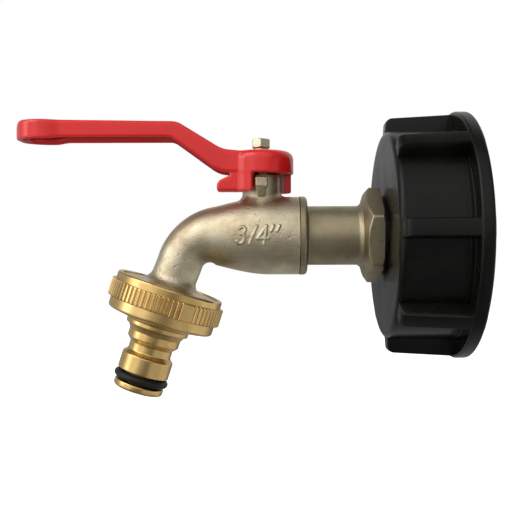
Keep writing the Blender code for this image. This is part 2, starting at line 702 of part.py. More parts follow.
def stem_o_ring(name, groove_low, parts, rubber):
    """Seal in one of the stem's grooves."""
    inner = STEM_RADIUS - STEM_GROOVE_DEPTH + SEAT_GAP
    outer = STEM_BORE_RADIUS - SEAT_GAP
    return o_ring(name, (inner + outer) / 2, outer - inner, groove_low + STEM_GROOVE_WIDTH / 2, parts,
                  STEM_FRAME, rubber)


def lever_roof(lower):
    """Top line of the arm from the hub to the tip, as (x, z) points, lowered by some depth."""
    tip = -GRIP_LENGTH
    top = GRIP_TOP - lower
    tip_top = top + GRIP_RISE
    points = [(0, HUB_TOP - HUB_ROUND / 2 - lower), (-HUB_RADIUS, HUB_TOP - lower),
              (-CRANK_FOOT, HUB_TOP + FOOT_RISE - lower), (CRANK_EASE - CRANK_TOP, top - CRANK_DIP),
              (-CRANK_TOP - CRANK_EASE, top)]
    return points + arc((tip + TIP_ROUND, tip_top - TIP_ROUND), TIP_ROUND, 90, 180, 4)


def lever_profile():
    """Side outline of the arm as (x, z) points from the stem's axis."""
    tip = -GRIP_LENGTH
    bottom = GRIP_TOP - GRIP_DEPTH
    points = lever_roof(0)
    points += arc((tip + TIP_UNDER, bottom + TIP_UNDER), TIP_UNDER, 180, 270, 3)
    points += [(-CRANK_TOP - 2 * CRANK_EASE, bottom), (-CRANK_TOP, bottom - CRANK_DIP),
               (-CRANK_FOOT - FOOT_UNDER, HUB_TOP - FOOT_DROP), (-HUB_RADIUS, HUB_CEILING + ARM_LIFT),
               (0, HUB_CEILING + ARM_LIFT)]
    return points


def lever_plan(inset):
    """Plan outline of the arm from the stem's axis, drawn in by an inset."""
    tip_centre = -GRIP_LENGTH + TIP_RADIUS
    reach = TIP_RADIUS - inset
    half = GRIP_HALF_WIDTH - inset
    root = ARM_ROOT_HALF_WIDTH - inset
    swing = math.degrees(math.asin(half / reach))
    side = arc((tip_centre, 0), reach, swing, 180, 8)
    upper = [(0, root), (-HUB_RADIUS, root), (-CRANK_TOP, half)] + side
    lower = [(x, -y) for x, y in upper[::-1]]
    return upper + lower[1:]


def lever_arm(parts, cutters):
    """Cranked arm: its side outline and its plan outline intersected, with rounded edges."""
    arm = slab("lever_handle", lever_profile(), -2 * TIP_RADIUS, 2 * TIP_RADIUS, parts, SIDE_FRAME)
    plan = slab("lever_plan", lever_plan(0), 0, 2 * GRIP_TOP, cutters, STEM_FRAME)
    boolean(arm, plan, "INTERSECT")
    bevel(arm, ARM_EDGE, 2, 40)
    return arm


def lever_channel(cutters):
    """Hollow under the arm and the grip, open below."""
    roof = lever_roof(ARM_ROOF)
    channel = slab("lever_channel", roof + [(-GRIP_LENGTH, 0), (0, 0)], -TIP_RADIUS, TIP_RADIUS, cutters,
                   SIDE_FRAME)
    plan = slab("channel_plan", channel_plan(), 0, 2 * GRIP_TOP, cutters, STEM_FRAME)
    boolean(channel, plan, "INTERSECT")
    return channel


def channel_plan():
    """Plan of the hollow: the arm's plan inset by its wall, stopped short of the hub."""
    stop = -HUB_RADIUS - ARM_WALL / 2
    return [(min(x, stop), y) for x, y in lever_plan(ARM_WALL) if x <= -HUB_RADIUS]


def lever_beak(cutters):
    """Pointed foot of the skirt under the arm."""
    top = HUB_CEILING + BEAK_LIFT
    outline = [(0, top), (-HUB_RADIUS, top), (BEAK_SLOPE - BEAK_REACH, SKIRT_BOTTOM + BEAK_NOTCH),
               (-BEAK_REACH, SKIRT_BOTTOM + BEAK_TIP_TOP), (-BEAK_REACH, SKIRT_BOTTOM + BEAK_EDGE),
               (BEAK_EDGE - BEAK_REACH, SKIRT_BOTTOM), (0, SKIRT_BOTTOM)]
    return slab("lever_beak", outline, BEAK_BACK, BEAK_FRONT, cutters, SIDE_FRAME)


def lever_hub(cutters):
    """Hub disc with a rounded top edge and the skirt that hangs from it."""
    crown = arc((HUB_RADIUS - HUB_ROUND, HUB_TOP - HUB_ROUND), HUB_ROUND, 90, 0, 4)
    outline = [(0, HUB_TOP)] + crown
    outline += [(HUB_RADIUS, HUB_CEILING), (SKIRT_RADIUS, HUB_CEILING - HUB_RADIUS + SKIRT_RADIUS),
                (SKIRT_RADIUS, SKIRT_BOTTOM), (0, SKIRT_BOTTOM)]
    return turned("lever_hub", outline, cutters, STEM_FRAME, FINE, closed=False)


def window_outline():
    """Plan of the skirt's window: the travel plus the lug and a small gap at each end."""
    inner = SKIRT_RADIUS - SKIRT_WALL
    margin = math.asin((LUG_WIDTH / 2 + STOP_GAP) / inner)
    start = math.degrees(-math.pi / 2 - margin)
    end = math.degrees(-math.pi / 2 + LEVER_TRAVEL + margin)
    return [(0, 0)] + arc((0, 0), 2 * HUB_RADIUS, start, end, 6)


def lever_handle(parts, cutters, enamel):
    """The die-cast lever: hub, skirt, beak and arm joined, then hollowed and cut."""
    lever = lever_arm(parts, cutters)
    boolean(lever, lever_channel(cutters), "DIFFERENCE")
    boolean(lever, lever_beak(cutters), "UNION")
    boolean(lever, lever_hub(cutters), "UNION")
    inner = SKIRT_RADIUS - SKIRT_WALL
    bore = [(0, HUB_CEILING), (inner, HUB_CEILING), (inner, 0), (0, 0)]
    boolean(lever, turned("skirt_bore", bore, cutters, STEM_FRAME, MEDIUM, closed=False), "DIFFERENCE")
    for name, turn in (("stop_window", 0), ("back_window", math.pi)):
        frame = STEM_FRAME @ Matrix.Rotation(turn, 4, "Z")
        boolean(lever, slab(name, window_outline(), 0, WINDOW_TOP, cutters, frame), "DIFFERENCE")
    pocket = SQUARE_DRIVE + 2 * SEAT_GAP
    boolean(lever, block("square_pocket", pocket, pocket, NECK_TOP - PAST, SQUARE_TOP + SEAT_GAP, cutters),
            "DIFFERENCE")
    hole = THREAD_END_RADIUS + SEAT_GAP
    drill = [(0, HUB_TOP + PAST), (hole, HUB_TOP + PAST), (hole, HUB_CEILING), (0, HUB_CEILING)]
    boolean(lever, turned("thread_hole", drill, cutters, STEM_FRAME, COARSE, closed=False), "DIFFERENCE")
    return settle(lever, enamel)


def handle_washer(parts, cutters, nickel):
    """Split spring washer under the nut."""
    inner = THREAD_END_RADIUS + SEAT_GAP
    outline = [(WASHER_RADIUS, WASHER_BOTTOM + WASHER_THICKNESS), (WASHER_RADIUS, WASHER_BOTTOM),
               (inner, WASHER_BOTTOM), (inner, WASHER_BOTTOM + WASHER_THICKNESS)]
    washer = turned("handle_washer", outline, parts, STEM_FRAME, COARSE)
    split = block("washer_split", WASHER_SPLIT, 2 * WASHER_RADIUS, HUB_TOP, NUT_TOP, cutters)
    split.matrix_world = STEM_FRAME @ Matrix.Translation((0, WASHER_RADIUS, 0))
    boolean(washer, split, "DIFFERENCE")
    return settle(washer, nickel)


def handle_nut(parts, cutters, nickel):
    """Hexagon nut with a coned top."""
    reach = NUT_ACROSS_FLATS / math.sqrt(3)
    nut = slab("handle_nut", hexagon(NUT_ACROSS_FLATS, NUT_TURN), NUT_BOTTOM, NUT_TOP, parts, STEM_FRAME)
    inner = THREAD_END_RADIUS + SEAT_GAP
    flat = NUT_ACROSS_FLATS / 2 - NUT_CONE / 2
    outline = [(flat, NUT_TOP + NUT_CONE / 4), (reach + NUT_CONE, NUT_TOP - 2 * NUT_CONE),
               (reach + NUT_CONE, NUT_BOTTOM - NUT_CONE), (inner, NUT_BOTTOM - NUT_CONE),
               (inner, NUT_TOP + NUT_CONE / 4)]
    boolean(nut, turned("nut_cone", outline, cutters, STEM_FRAME, COARSE), "INTERSECT")
    return settle(nut, nickel)


def knurl_outline():
    """Toothed outline of the knurled band, with the plain stretch that the band has."""
    root = KNURL_RADIUS - KNURL_DEPTH
    points = []
    for i in range(KNURL_TEETH):
        for share, radius in ((0.0, root), (KNURL_FLANK, KNURL_RADIUS), (1 - KNURL_FLANK, KNURL_RADIUS)):
            angle = 2 * math.pi * (i + share) / KNURL_TEETH
            if abs(angle - math.pi * 1.5 + KNURL_PLAIN_CENTRE) < KNURL_PLAIN_WIDTH / 2:
                radius = KNURL_RADIUS
            points.append((radius * math.cos(angle), radius * math.sin(angle)))
    return points


def connector_outline():
    """Outer and inner outline of the connector, from its rim to the nozzle's end."""
    edge = NOZZLE_END_CHAMFER
    outer = [(RIM_RADIUS - edge, RIM_TOP), (RIM_RADIUS, RIM_TOP + edge), (BAND_RADIUS, BAND_END - edge),
             (BAND_RADIUS - edge, BAND_END),
             (NOZZLE_SHOULDER_RADIUS, BAND_END + BAND_CONE), (NOZZLE_SHOULDER_RADIUS, NOZZLE_SHOULDER_END)]
    outer += [(NOZZLE_STEP_RADIUS + edge, NOZZLE_SHOULDER_END + NOZZLE_STEP_CONE),
              (NOZZLE_STEP_RADIUS, NOZZLE_SHOULDER_END + 2 * NOZZLE_STEP_CONE),
              (NOZZLE_STEP_RADIUS, NOZZLE_STEP_END),
              (NOZZLE_NECK_RADIUS, NOZZLE_STEP_END + NOZZLE_NECK_CONE),
              (NOZZLE_NECK_RADIUS, NOZZLE_NECK_END),
              (NOZZLE_COLLAR_RADIUS, NOZZLE_COLLAR_START), (NOZZLE_COLLAR_RADIUS, NOZZLE_GROOVE_START),
              (NOZZLE_GROOVE_RADIUS, NOZZLE_GROOVE_START), (NOZZLE_GROOVE_RADIUS, NOZZLE_GROOVE_END),
              (NOZZLE_TIP_RADIUS, NOZZLE_GROOVE_END), (NOZZLE_TIP_RADIUS, NOZZLE_END - edge),
              (NOZZLE_TIP_RADIUS - edge, NOZZLE_END)]
    thread = OUTLET_THREAD_RADIUS + SEAT_GAP
    counterbore = SHOULDER_RADIUS + SEAT_GAP
    inner = [(NOZZLE_BORE_RADIUS, NOZZLE_END), (NOZZLE_BORE_RADIUS, FLOOR_DEPTH), (thread, FLOOR_DEPTH),
             (thread, SHOULDER_THICKNESS + SEAT_GAP), (counterbore, SHOULDER_THICKNESS + SEAT_GAP),
             (counterbore, RIM_TOP)]
    return outer + inner


def tap_connector(parts, cutters, brass):
    """Turned brass connector with its knurled band."""
    connector = turned("tap_connector", connector_outline(), parts, SPOUT_FRAME, FINE)
    band = slab("knurled_band", knurl_outline(), RIM_DEPTH, RIM_DEPTH + KNURL_LENGTH, cutters, SPOUT_FRAME)
    hollow = OUTLET_THREAD_RADIUS + 2 * SEAT_GAP
    outline = [(hollow, 0), (KNURL_RADIUS * 2, 0), (KNURL_RADIUS * 2, BAND_END), (hollow, BAND_END)]
    boolean(band, turned("band_bore", outline, cutters, SPOUT_FRAME, FINE), "INTERSECT")
    boolean(connector, band, "UNION")
    return settle(connector, brass)


def connector_washer(parts, rubber):
    """Flat washer between the spout's end and the connector's floor."""
    low = OUTLET_LENGTH + SEAT_GAP
    return ring("connector_washer", NOZZLE_BORE_RADIUS + SEAT_GAP, OUTLET_THREAD_RADIUS - SEAT_GAP, low,
                low + CONNECTOR_WASHER_THICKNESS, parts, SPOUT_FRAME, rubber)


def build():
    """Make every piece of the tap adapter."""
    clear_scene()
    parts = collection("ibc_tap_adapter")
    cutters = collection("cutters")
    plastic = principled("black_moulded_plastic", (0.012, 0.013, 0.012), 0.38)
    nickel = principled("satin_nickel_plate", (0.52, 0.48, 0.39), 0.34, 1.0)
    brass = principled("turned_brass", (0.72, 0.50, 0.18), 0.26, 1.0)
    enamel = principled("red_enamel", (0.60, 0.028, 0.025), 0.25)
    rubber = principled("black_rubber", (0.010, 0.010, 0.010), 0.60)
    white = principled("white_seat_plastic", (0.80, 0.80, 0.77), 0.45)
    chrome = principled("chromed_ball", (0.70, 0.71, 0.72), 0.10, 1.0)
    valve_frame = STEM_FRAME @ INLET_FRAME

    threaded_cap(parts, cutters, plastic)
    cap_gasket(parts, rubber)
    tailpiece_seal(parts, rubber)
    inlet_tailpiece(parts, cutters, nickel)
    groove_centre = COLLAR_LEFT_X - INSERT_GROOVE_WIDTH / 2
    o_ring("tailpiece_o_ring", INSERT_GROOVE_RADIUS + SEAT_GAP + O_RING_CORD / 2, O_RING_CORD,
           groove_centre - STEM_X, parts, valve_frame, rubber, MEDIUM)
    tap_body(parts, cutters, nickel)
    ball_seat("ball_seat_inlet", 1, parts, white)
    ball_seat("ball_seat_outlet", -1, parts, white)
    ball = valve_ball(parts, cutters, chrome)
    stem = valve_stem(parts, cutters, brass)
    ring("stem_thrust_washer", STEM_RADIUS + SEAT_GAP, STEM_FLANGE_RADIUS, THRUST_BOTTOM, THRUST_TOP,
         parts, STEM_FRAME, white, COARSE)
    stem_o_ring("stem_o_ring_lower", STEM_GROOVE_LOWER, parts, rubber)
    stem_o_ring("stem_o_ring_upper", STEM_GROOVE_UPPER, parts, rubber)
    lever_handle(parts, cutters, enamel)
    handle_washer(parts, cutters, nickel)
    handle_nut(parts, cutters, nickel)
    tap_connector(parts, cutters, brass)
    connector_washer(parts, rubber)
    o_ring("nozzle_o_ring", NOZZLE_GROOVE_RADIUS + SEAT_GAP + NOZZLE_O_RING_CORD / 2, NOZZLE_O_RING_CORD,
           (NOZZLE_GROOVE_START + NOZZLE_GROOVE_END) / 2, parts, SPOUT_FRAME, rubber, MEDIUM)


build()
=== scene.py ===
"""Look of a tap adapter for a bulk liquid container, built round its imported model.

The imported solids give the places. Each sub-assembly below is a class whose
sizes are dataclass fields and whose surfaces are worked out as numpy arrays:
most are an outline carried round an axis or along a path. +X points out of
the cap's mouth and +Z is up. The sub-assemblies count in millimetres, which
surface() turns into metres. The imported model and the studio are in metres.
"""
import json
import logging
import math
from collections.abc import Callable, Sequence
from dataclasses import dataclass
from enum import Enum

import bmesh
import bpy
import numpy as np
from mathutils import Matrix, Vector

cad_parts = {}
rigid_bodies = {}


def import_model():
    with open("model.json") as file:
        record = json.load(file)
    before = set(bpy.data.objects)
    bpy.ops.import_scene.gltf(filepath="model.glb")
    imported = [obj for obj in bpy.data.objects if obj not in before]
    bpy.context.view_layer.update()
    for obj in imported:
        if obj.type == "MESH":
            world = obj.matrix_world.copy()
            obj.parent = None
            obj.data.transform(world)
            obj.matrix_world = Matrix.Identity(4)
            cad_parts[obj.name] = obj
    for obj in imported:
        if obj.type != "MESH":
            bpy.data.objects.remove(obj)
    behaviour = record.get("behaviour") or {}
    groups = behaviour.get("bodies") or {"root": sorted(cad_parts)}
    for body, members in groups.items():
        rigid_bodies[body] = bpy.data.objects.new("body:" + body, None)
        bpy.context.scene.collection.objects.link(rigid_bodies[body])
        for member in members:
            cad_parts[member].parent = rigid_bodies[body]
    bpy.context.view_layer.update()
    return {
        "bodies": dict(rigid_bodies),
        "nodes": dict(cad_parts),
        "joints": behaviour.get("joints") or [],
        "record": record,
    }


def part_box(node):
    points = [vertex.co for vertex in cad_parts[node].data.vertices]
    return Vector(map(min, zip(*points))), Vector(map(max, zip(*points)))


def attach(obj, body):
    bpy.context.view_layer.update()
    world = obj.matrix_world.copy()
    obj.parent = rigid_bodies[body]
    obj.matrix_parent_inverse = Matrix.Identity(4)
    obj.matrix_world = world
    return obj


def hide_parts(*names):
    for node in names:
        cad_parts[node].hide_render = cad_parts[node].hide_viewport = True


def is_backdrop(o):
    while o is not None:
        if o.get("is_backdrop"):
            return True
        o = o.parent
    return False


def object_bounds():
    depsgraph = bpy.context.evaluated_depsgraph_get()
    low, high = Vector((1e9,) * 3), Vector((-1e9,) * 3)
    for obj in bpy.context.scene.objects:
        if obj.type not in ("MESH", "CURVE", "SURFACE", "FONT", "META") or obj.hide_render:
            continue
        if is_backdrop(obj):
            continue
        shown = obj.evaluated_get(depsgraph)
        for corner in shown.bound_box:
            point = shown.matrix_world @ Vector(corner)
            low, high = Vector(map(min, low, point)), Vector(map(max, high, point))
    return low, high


MM = 0.001
TAU = 2.0 * math.pi
RIGHT_ANGLE = math.pi / 2
ARC_SHARE = 0.48
SAME_POINT = 1e-5
WHITE =(1.0, 1.0, 1.0, 1.0)
LOG = logging.getLogger("tap_adapter")

Array = np.ndarray
Triple = tuple[float, float, float]
Reshape = Callable[[Array, Array, Array], Array]
Object = bpy.types.Object
Socket = bpy.types.NodeSocket


class Body(Enum):
    """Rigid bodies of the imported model."""

    TAP = "tap"
    LEVER = "lever"


class Slot(Enum):
    """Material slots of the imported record."""

    CAP = "cap_plastic"
    NICKEL = "nickel_plate"
    BRASS = "turned_brass"
    ENAMEL = "red_enamel"
    RUBBER = "seal_rubber"
    SEAT = "seat_plastic"
    CHROME = "ball_chrome"


# Outlines and surfaces


def rounded(corners: Sequence[Triple], steps: int = 6) -> Array:
    """Round the corners of an open outline.

    Each corner is replaced by an exact arc, written as a rational quadratic
    whose middle weight is the cosine of half the turn. The arc starts and
    ends at radius times the tangent of half the turn from the corner, at
    most ARC_SHARE of the shorter neighbouring side.

    Args:
        corners: (first, second, radius) of each corner. The ends stay sharp.
        steps: Steps of each arc.

    Returns:
        The rounded outline, shape (n, 2), without repeated points.
    """
    table = np.array(corners, float)
    points, radii = table[:, :2], table[1:-1, 2]
    side = np.diff(points, axis=0)
    length = np.linalg.norm(side, axis=1)
    side = side / length[:, None]
    half_turn = np.arccos(np.clip((side[:-1] * side[1:]).sum(1), -1.0, 1.0)) / 2.0
    most = ARC_SHARE * np.minimum(length[:-1], length[1:])
    reach = np.minimum(radii * np.tan(half_turn), most)[:, None]
    inner = points[1:-1]
    start, end = inner - side[:-1] * reach, inner + side[1:] * reach
    t = np.linspace(0.0, 1.0, steps + 1)[None, :, None]
    first, last = (1 - t) ** 2, t ** 2
    middle = 2 * np.cos(half_turn)[:, None, None] * t * (1 - t)
    arcs = (first * start[:, None] + middle * inner[:, None] + last * end[:, None]) / (first + middle + last)
    path = np.concatenate([points[:1], arcs.reshape(-1, 2), points[-1:]])
    apart = np.linalg.norm(np.diff(path, axis=0), axis=1) > SAME_POINT
    return path[np.append(True, apart)]


def open_path(corners: Sequence[Triple], spacing: float, steps: int = 6) -> Array:
    """Round an open outline's corners and add points to its long stretches.

    Args:
        corners: (first, second, radius) of each corner. The ends stay sharp.
        spacing: Longest step along straight stretches.
        steps: Steps of each rounded corner.

    Returns:
        The outline, shape (n, 2), with the points of its arcs kept.
    """
    path = rounded(corners, steps)
    run = np.append(0.0, np.cumsum(np.linalg.norm(np.diff(path, axis=0), axis=1)))
    extra = np.arange(spacing, run[-1], spacing)
    gap = np.abs(extra[:, None] - run[None, :]).min(1)
    places = np.sort(np.concatenate([run, extra[gap > 0.35 * spacing]]))
    return np.stack([np.interp(places, run, values) for values in path.T], 1)


def outline(corners: list[Triple], spacing: float = 0.8, steps: int = 6) -> Array:
    """Closed outline, its first corner sharp and not repeated at the end."""
    return open_path(corners + corners[:1], spacing, steps)[:-1]


def smooth_step(low: float | Array, high: float | Array, value: Array) -> Array:
    """Rise from 0 to 1 between low and high as 3t^2 - 2t^3."""
    t = np.clip((value - low) / (high - low), 0.0, 1.0)
    return t * t * (3.0 - 2.0 * t)


def soft_min(a: Array, b: Array | float, width: float) -> Array:
    """Lower of two values, with a rounded change-over of a given width."""
    blend = np.clip(0.5 + 0.5 * (b - a) / width, 0.0, 1.0)
    return b * (1 - blend) + a * blend - width * blend * (1 - blend)


def round_off(depth: Array, radius: float) -> Array:
    """How far a quarter-round edge lies below its face, at a depth behind its start."""
    into = np.clip(radius - depth, 0.0, radius)
    return radius - np.sqrt(radius ** 2 - into ** 2)


def circle(steps: int, start: float = 0.0) -> Array:
    """Even angles all the way round."""
    return np.arange(steps) * TAU / steps + start


def sections(half: Array, low: float | Array, high: Array, corners: tuple[float, float], steps: int,
             spread: float = 0.0) -> tuple[Array, Array]:
    """Rectangular sections of a long piece, with rounded corners.

    Formula: each section's corners are quarter circles about points that
    stand one corner radius inside its half width and half height.

    Args:
        half: Half width of each section.
        low: Bottom of each section.
        high: Top of each section.
        corners: Radius of the upper and of the lower corners.
        steps: Points of each corner.
        spread: What each side of a section's bottom is wider than its top.

    Returns:
        Places across and up, each of shape (sections, 4 * steps).
    """
    start, side, level = np.repeat([(0, 1, 1), (1, -1, 1), (2, -1, -1), (3, 1, -1)], steps, 0).T
    angle = start * RIGHT_ANGLE + np.tile(np.linspace(0.0, RIGHT_ANGLE, steps), 4)
    width, rise = half[:, None], (high - low)[:, None] / 2
    size = np.minimum(np.minimum(width, rise) * 0.98, np.where(level > 0, *corners))
    across = side * (width + spread * (level < 0) - size) + size * np.cos(angle)
    return across, (high + low)[:, None] / 2 + level * (rise - size) + size * np.sin(angle)


@dataclass(frozen=True)
class Axis:
    """A turning axis: where it starts, its direction and where its angles start."""

    origin: Triple
    along: Triple
    across: Triple

    def place(self, radius: Array, angle: Array, height: Array) -> Array:
        """Points at a radius, an angle and a height, as (..., 3).

        Formula: origin + height along the axis + radius times (cosine of the
        angle along the second direction + sine along the third).
        """
        third = np.cross(self.along, self.across)
        ring = np.cos(angle)[..., None] * self.across + np.sin(angle)[..., None] * third
        return height[..., None] * self.along + radius[..., None] * ring + self.origin


def around(loop: Array, turn: Array) -> tuple[Array, Array, Array]:
    """Radius, angle and height of a (radius, height) outline at each turn, as grids."""
    radius, angle = np.meshgrid(loop[:, 0], turn, indexing="ij")
    return radius, angle, np.repeat(loop[:, 1:], len(turn), 1)


def linked(name: str, data: bpy.types.ID) -> Object:
    """Make an object of its data and put it in the scene."""
    obj = bpy.data.objects.new(name, data)
    bpy.context.scene.collection.objects.link(obj)
    return obj


def surface(name: str, grid: Array, wrap_rows: bool = True, sharp: float = 38.0) -> Object:
    """Make an object from a grid of points, whose columns are joined round.

    Args:
        name: Object name.
        grid: Points in millimetres, shape (rows, columns, 3).
        wrap_rows: Join the last row to the first. If not, both get a flat
            face, so that the object is closed.
        sharp: Edges that turn more than this many degrees stay sharp.

    Returns:
        The object in metres, with its faces outwards.
    """
    rows, columns = grid.shape[:2]
    i, j = np.meshgrid(np.arange(rows if wrap_rows else rows - 1), np.arange(columns), indexing="ij")
    below, beside = (i + 1) % rows * columns, (j + 1) % columns
    corners = [i * columns + j, below + j, below + beside, i * columns + beside]
    faces = np.stack(corners, -1).reshape(-1, 4).tolist()
    if not wrap_rows:
        faces += [list(range(columns)), list(range((rows - 1) * columns, rows * columns))[::-1]]
    mesh = bpy.data.meshes.new(name)
    mesh.from_pydata((grid.reshape(-1, 3) * MM).tolist(), [], faces)
    face_outwards(mesh)
    mesh.shade_smooth()
    mesh.set_sharp_from_angle(angle=math.radians(sharp))
    return linked(name, mesh)


def face_outwards(mesh: bpy.types.Mesh) -> None:
    """Flip a closed mesh whose signed volume is negative."""
    shape = bmesh.new()
    shape.from_mesh(mesh)
    if shape.calc_volume(signed=True) < 0:
        mesh.flip_normals()
    shape.free()


def turned(name: str, loop: Array, axis: Axis, turn: Array | None = None, reshape: Reshape | None = None,
           sharp: float = 38.0) -> Object:
    """Carry a closed outline round an axis.

    Args:
        name: Object name.
        loop: The outline as (radius, height), shape (n, 2).
        axis: What it is carried round.
        turn: Angles of the copies of the outline; 128 even ones if not given.
        reshape: Gives each point a new radius from its radius, angle and height.
        sharp: Edges that turn more than this many degrees stay sharp.

    Returns:
        The object.
    """
    radius, angle, height = around(loop, circle(128) if turn is None else turn)
    if reshape:
        radius = reshape(radius, angle, height)
    return surface(name, axis.place(radius, angle, height), sharp=sharp)


@dataclass(frozen=True)
class Hexagon:
    """A hexagon's width, turn, corner rounding, and blend with the piece it limits."""

    flats: float
    turn: float
    corner: float
    blend: float

    @property
    def reach(self) -> float:
        """Distance of the sharp corners from the middle."""
        return self.flats / math.sqrt(3)

    def limit(self, radius: Array, angle: Array, _height: Array) -> Array:
        """Keep a turned piece within the sides.

        Formula: half the width across flats over the cosine of the angle
        from the middle of the nearest side, capped softly near the corners.
        The lower of this and the piece's own radius is kept.
        """
        from_middle = (angle - self.turn) % (math.pi / 3) - math.pi / 6
        side = self.flats / 2 / np.cos(from_middle)
        return soft_min(radius, soft_min(side, self.reach - self.corner / 4, self.corner), self.blend)


def joined(name: str, parts: list[Object]) -> Object:
    """Put several meshes into the first one's object, each keeping its own surface."""
    with bpy.context.temp_override(active_object=parts[0], object=parts[0], selected_objects=parts,
                                   selected_editable_objects=parts):
        bpy.ops.object.join()
    parts[0].name = name
    return parts[0]


def fused(name: str, parts: list[Object], voxel: float, passes: int) -> Object:
    """Fuse overlapping closed shells into one skin and soften its edges.

    Args:
        name: Name of the fused object.
        parts: The shells, which are used up.
        voxel: Cell size of the new skin, in millimetres.
        passes: Smoothing passes.

    Returns:
        The fused object, its modifiers already applied.
    """
    obj = joined(name, parts)
    skin = obj.modifiers.new("Fuse", "REMESH")
    skin.mode = "VOXEL"
    skin.voxel_size = voxel * MM
    soften = obj.modifiers.new("Soften", "SMOOTH")
    soften.factor = 0.5
    soften.iterations = passes
    return baked(obj)


def baked(obj: Object) -> Object:
    """Make an object's modifiers real and shade it smooth."""
    bpy.context.view_layer.update()
    mesh = bpy.data.meshes.new_from_object(obj.evaluated_get(bpy.context.evaluated_depsgraph_get()))
    obj.modifiers.clear()
    obj.data = mesh
    mesh.shade_smooth()
    return obj


def cut(obj: Object, cutter: Object) -> None:
    """Take one closed object out of another, and drop the cutter."""
    modifier = obj.modifiers.new("Cut", "BOOLEAN")
    modifier.operation = "DIFFERENCE"
    modifier.solver = "EXACT"
    modifier.object = cutter
    baked(obj)
    bpy.data.objects.remove(cutter, do_unlink=True)


# Shader nodes


class Nodes:
    """Short calls for building one node tree."""

    def __init__(self, tree: bpy.types.NodeTree) -> None:
        """Keep the tree."""
        self.tree = tree

    def feed(self, node: bpy.types.Node, inputs: dict[str | int, object]) -> None:
        """Set a node's inputs to values, or link them to sockets."""
        for label, value in inputs.items():
            if isinstance(value, Socket):
                self.tree.links.new(value, node.inputs[label])
            else:
                node.inputs[label].default_value = value

    def add(self, kind: str, inputs: dict[str | int, object] | None = None, output: str | int = 0,
            **settings: object) -> Socket:
        """Add a node with its settings and inputs, and return one of its outputs."""
        node = self.tree.nodes.new(f"ShaderNode{kind}")
        for key, value in settings.items():
            setattr(node, key, value)
        self.feed(node, inputs or {})
        return node.outputs[output]

    def math(self, operation: str, first: object, second: object) -> Socket:
        """Add a Math node."""
        return self.add("Math", {0: first, 1: second}, operation=operation)

    def noise(self, vector: Socket, scale: object, detail: float, roughness: float = 0.5) -> Socket:
        """Add a Noise Texture."""
        return self.add("TexNoise", {"Vector": vector, "Scale": scale, "Detail": detail,
                                     "Roughness": roughness})

    def span(self, value: Socket, low: float, high: float) -> Socket:
        """Stretch low..high to 0..1 and clamp it."""
        return self.add("MapRange", {"Value": value, "From Min": low, "From Max": high})


class Pattern(Nodes):
    """A shader node group under construction, which gives a tone's mask and a relief's height."""

    def __init__(self, name: str, scales: dict[str, float]) -> None:
        """Start a group that takes a vector and some scales."""
        super().__init__(bpy.data.node_groups.new(name, "ShaderNodeTree"))
        sockets = self.tree.interface
        sockets.new_socket("Vector", in_out="INPUT", socket_type="NodeSocketVector")
        for label, scale in scales.items():
            sockets.new_socket(label, in_out="INPUT", socket_type="NodeSocketFloat").default_value = scale
        for label in ("Mask", "Height"):
            sockets.new_socket(label, in_out="OUTPUT", socket_type="NodeSocketFloat")
        self.given = self.tree.nodes.new("NodeGroupInput").outputs

    def give(self, mask: Socket, height: Socket) -> None:
        """End the group with what it gives."""
        self.feed(self.tree.nodes.new("NodeGroupOutput"), {"Mask": mask, "Height": height})


def casting_skin() -> None:
    """Group of the skin of a casting: broad mottling, fine grain and small pits."""
    group = Pattern("casting_skin", {"Grain Scale": 2200.0, "Mottle Scale": 130.0})
    vector, grain_scale, mottle_scale = (group.given[i] for i in range(3))
    mottle = group.span(group.noise(vector, mottle_scale, 5.0, 0.6), 0.32, 0.70)
    grain = group.noise(vector, grain_scale, 3.0, 0.65)
    pits = group.span(group.noise(vector, group.math("MULTIPLY", grain_scale, 0.32), 1.0), 0.66, 0.74)
    speckle = group.math("MULTIPLY", group.span(grain, 0.45, 0.75), 0.45)
    spots = group.math("MAXIMUM", group.math("MULTIPLY", pits, 0.85), speckle)
    group.give(group.math("MAXIMUM", mottle, spots),
               group.math("SUBTRACT", grain, group.math("MULTIPLY", pits, 0.5)))


def turning_marks() -> None:
    """Group of a lathe's marks: fine rings along Z, with a slow wander round the piece."""
    group = Pattern("turning_marks", {})
    vector = group.given["Vector"]
    stretched = group.add("Mapping", {"Vector": vector, "Scale": (18.0, 18.0, 3800.0)})
    group.give(group.span(group.noise(vector, 170.0, 4.0, 0.6), 0.35, 0.72),
               group.noise(stretched, 1.0, 2.0, 0.6))


def new_material(name: str) -> tuple[bpy.types.Material, Nodes, bpy.types.Node]:
    """Start a material and return it with its nodes and its shader."""
    material = bpy.data.materials.new(name)
    material.use_nodes = True
    return material, Nodes(material.node_tree), material.node_tree.nodes["Principled BSDF"]


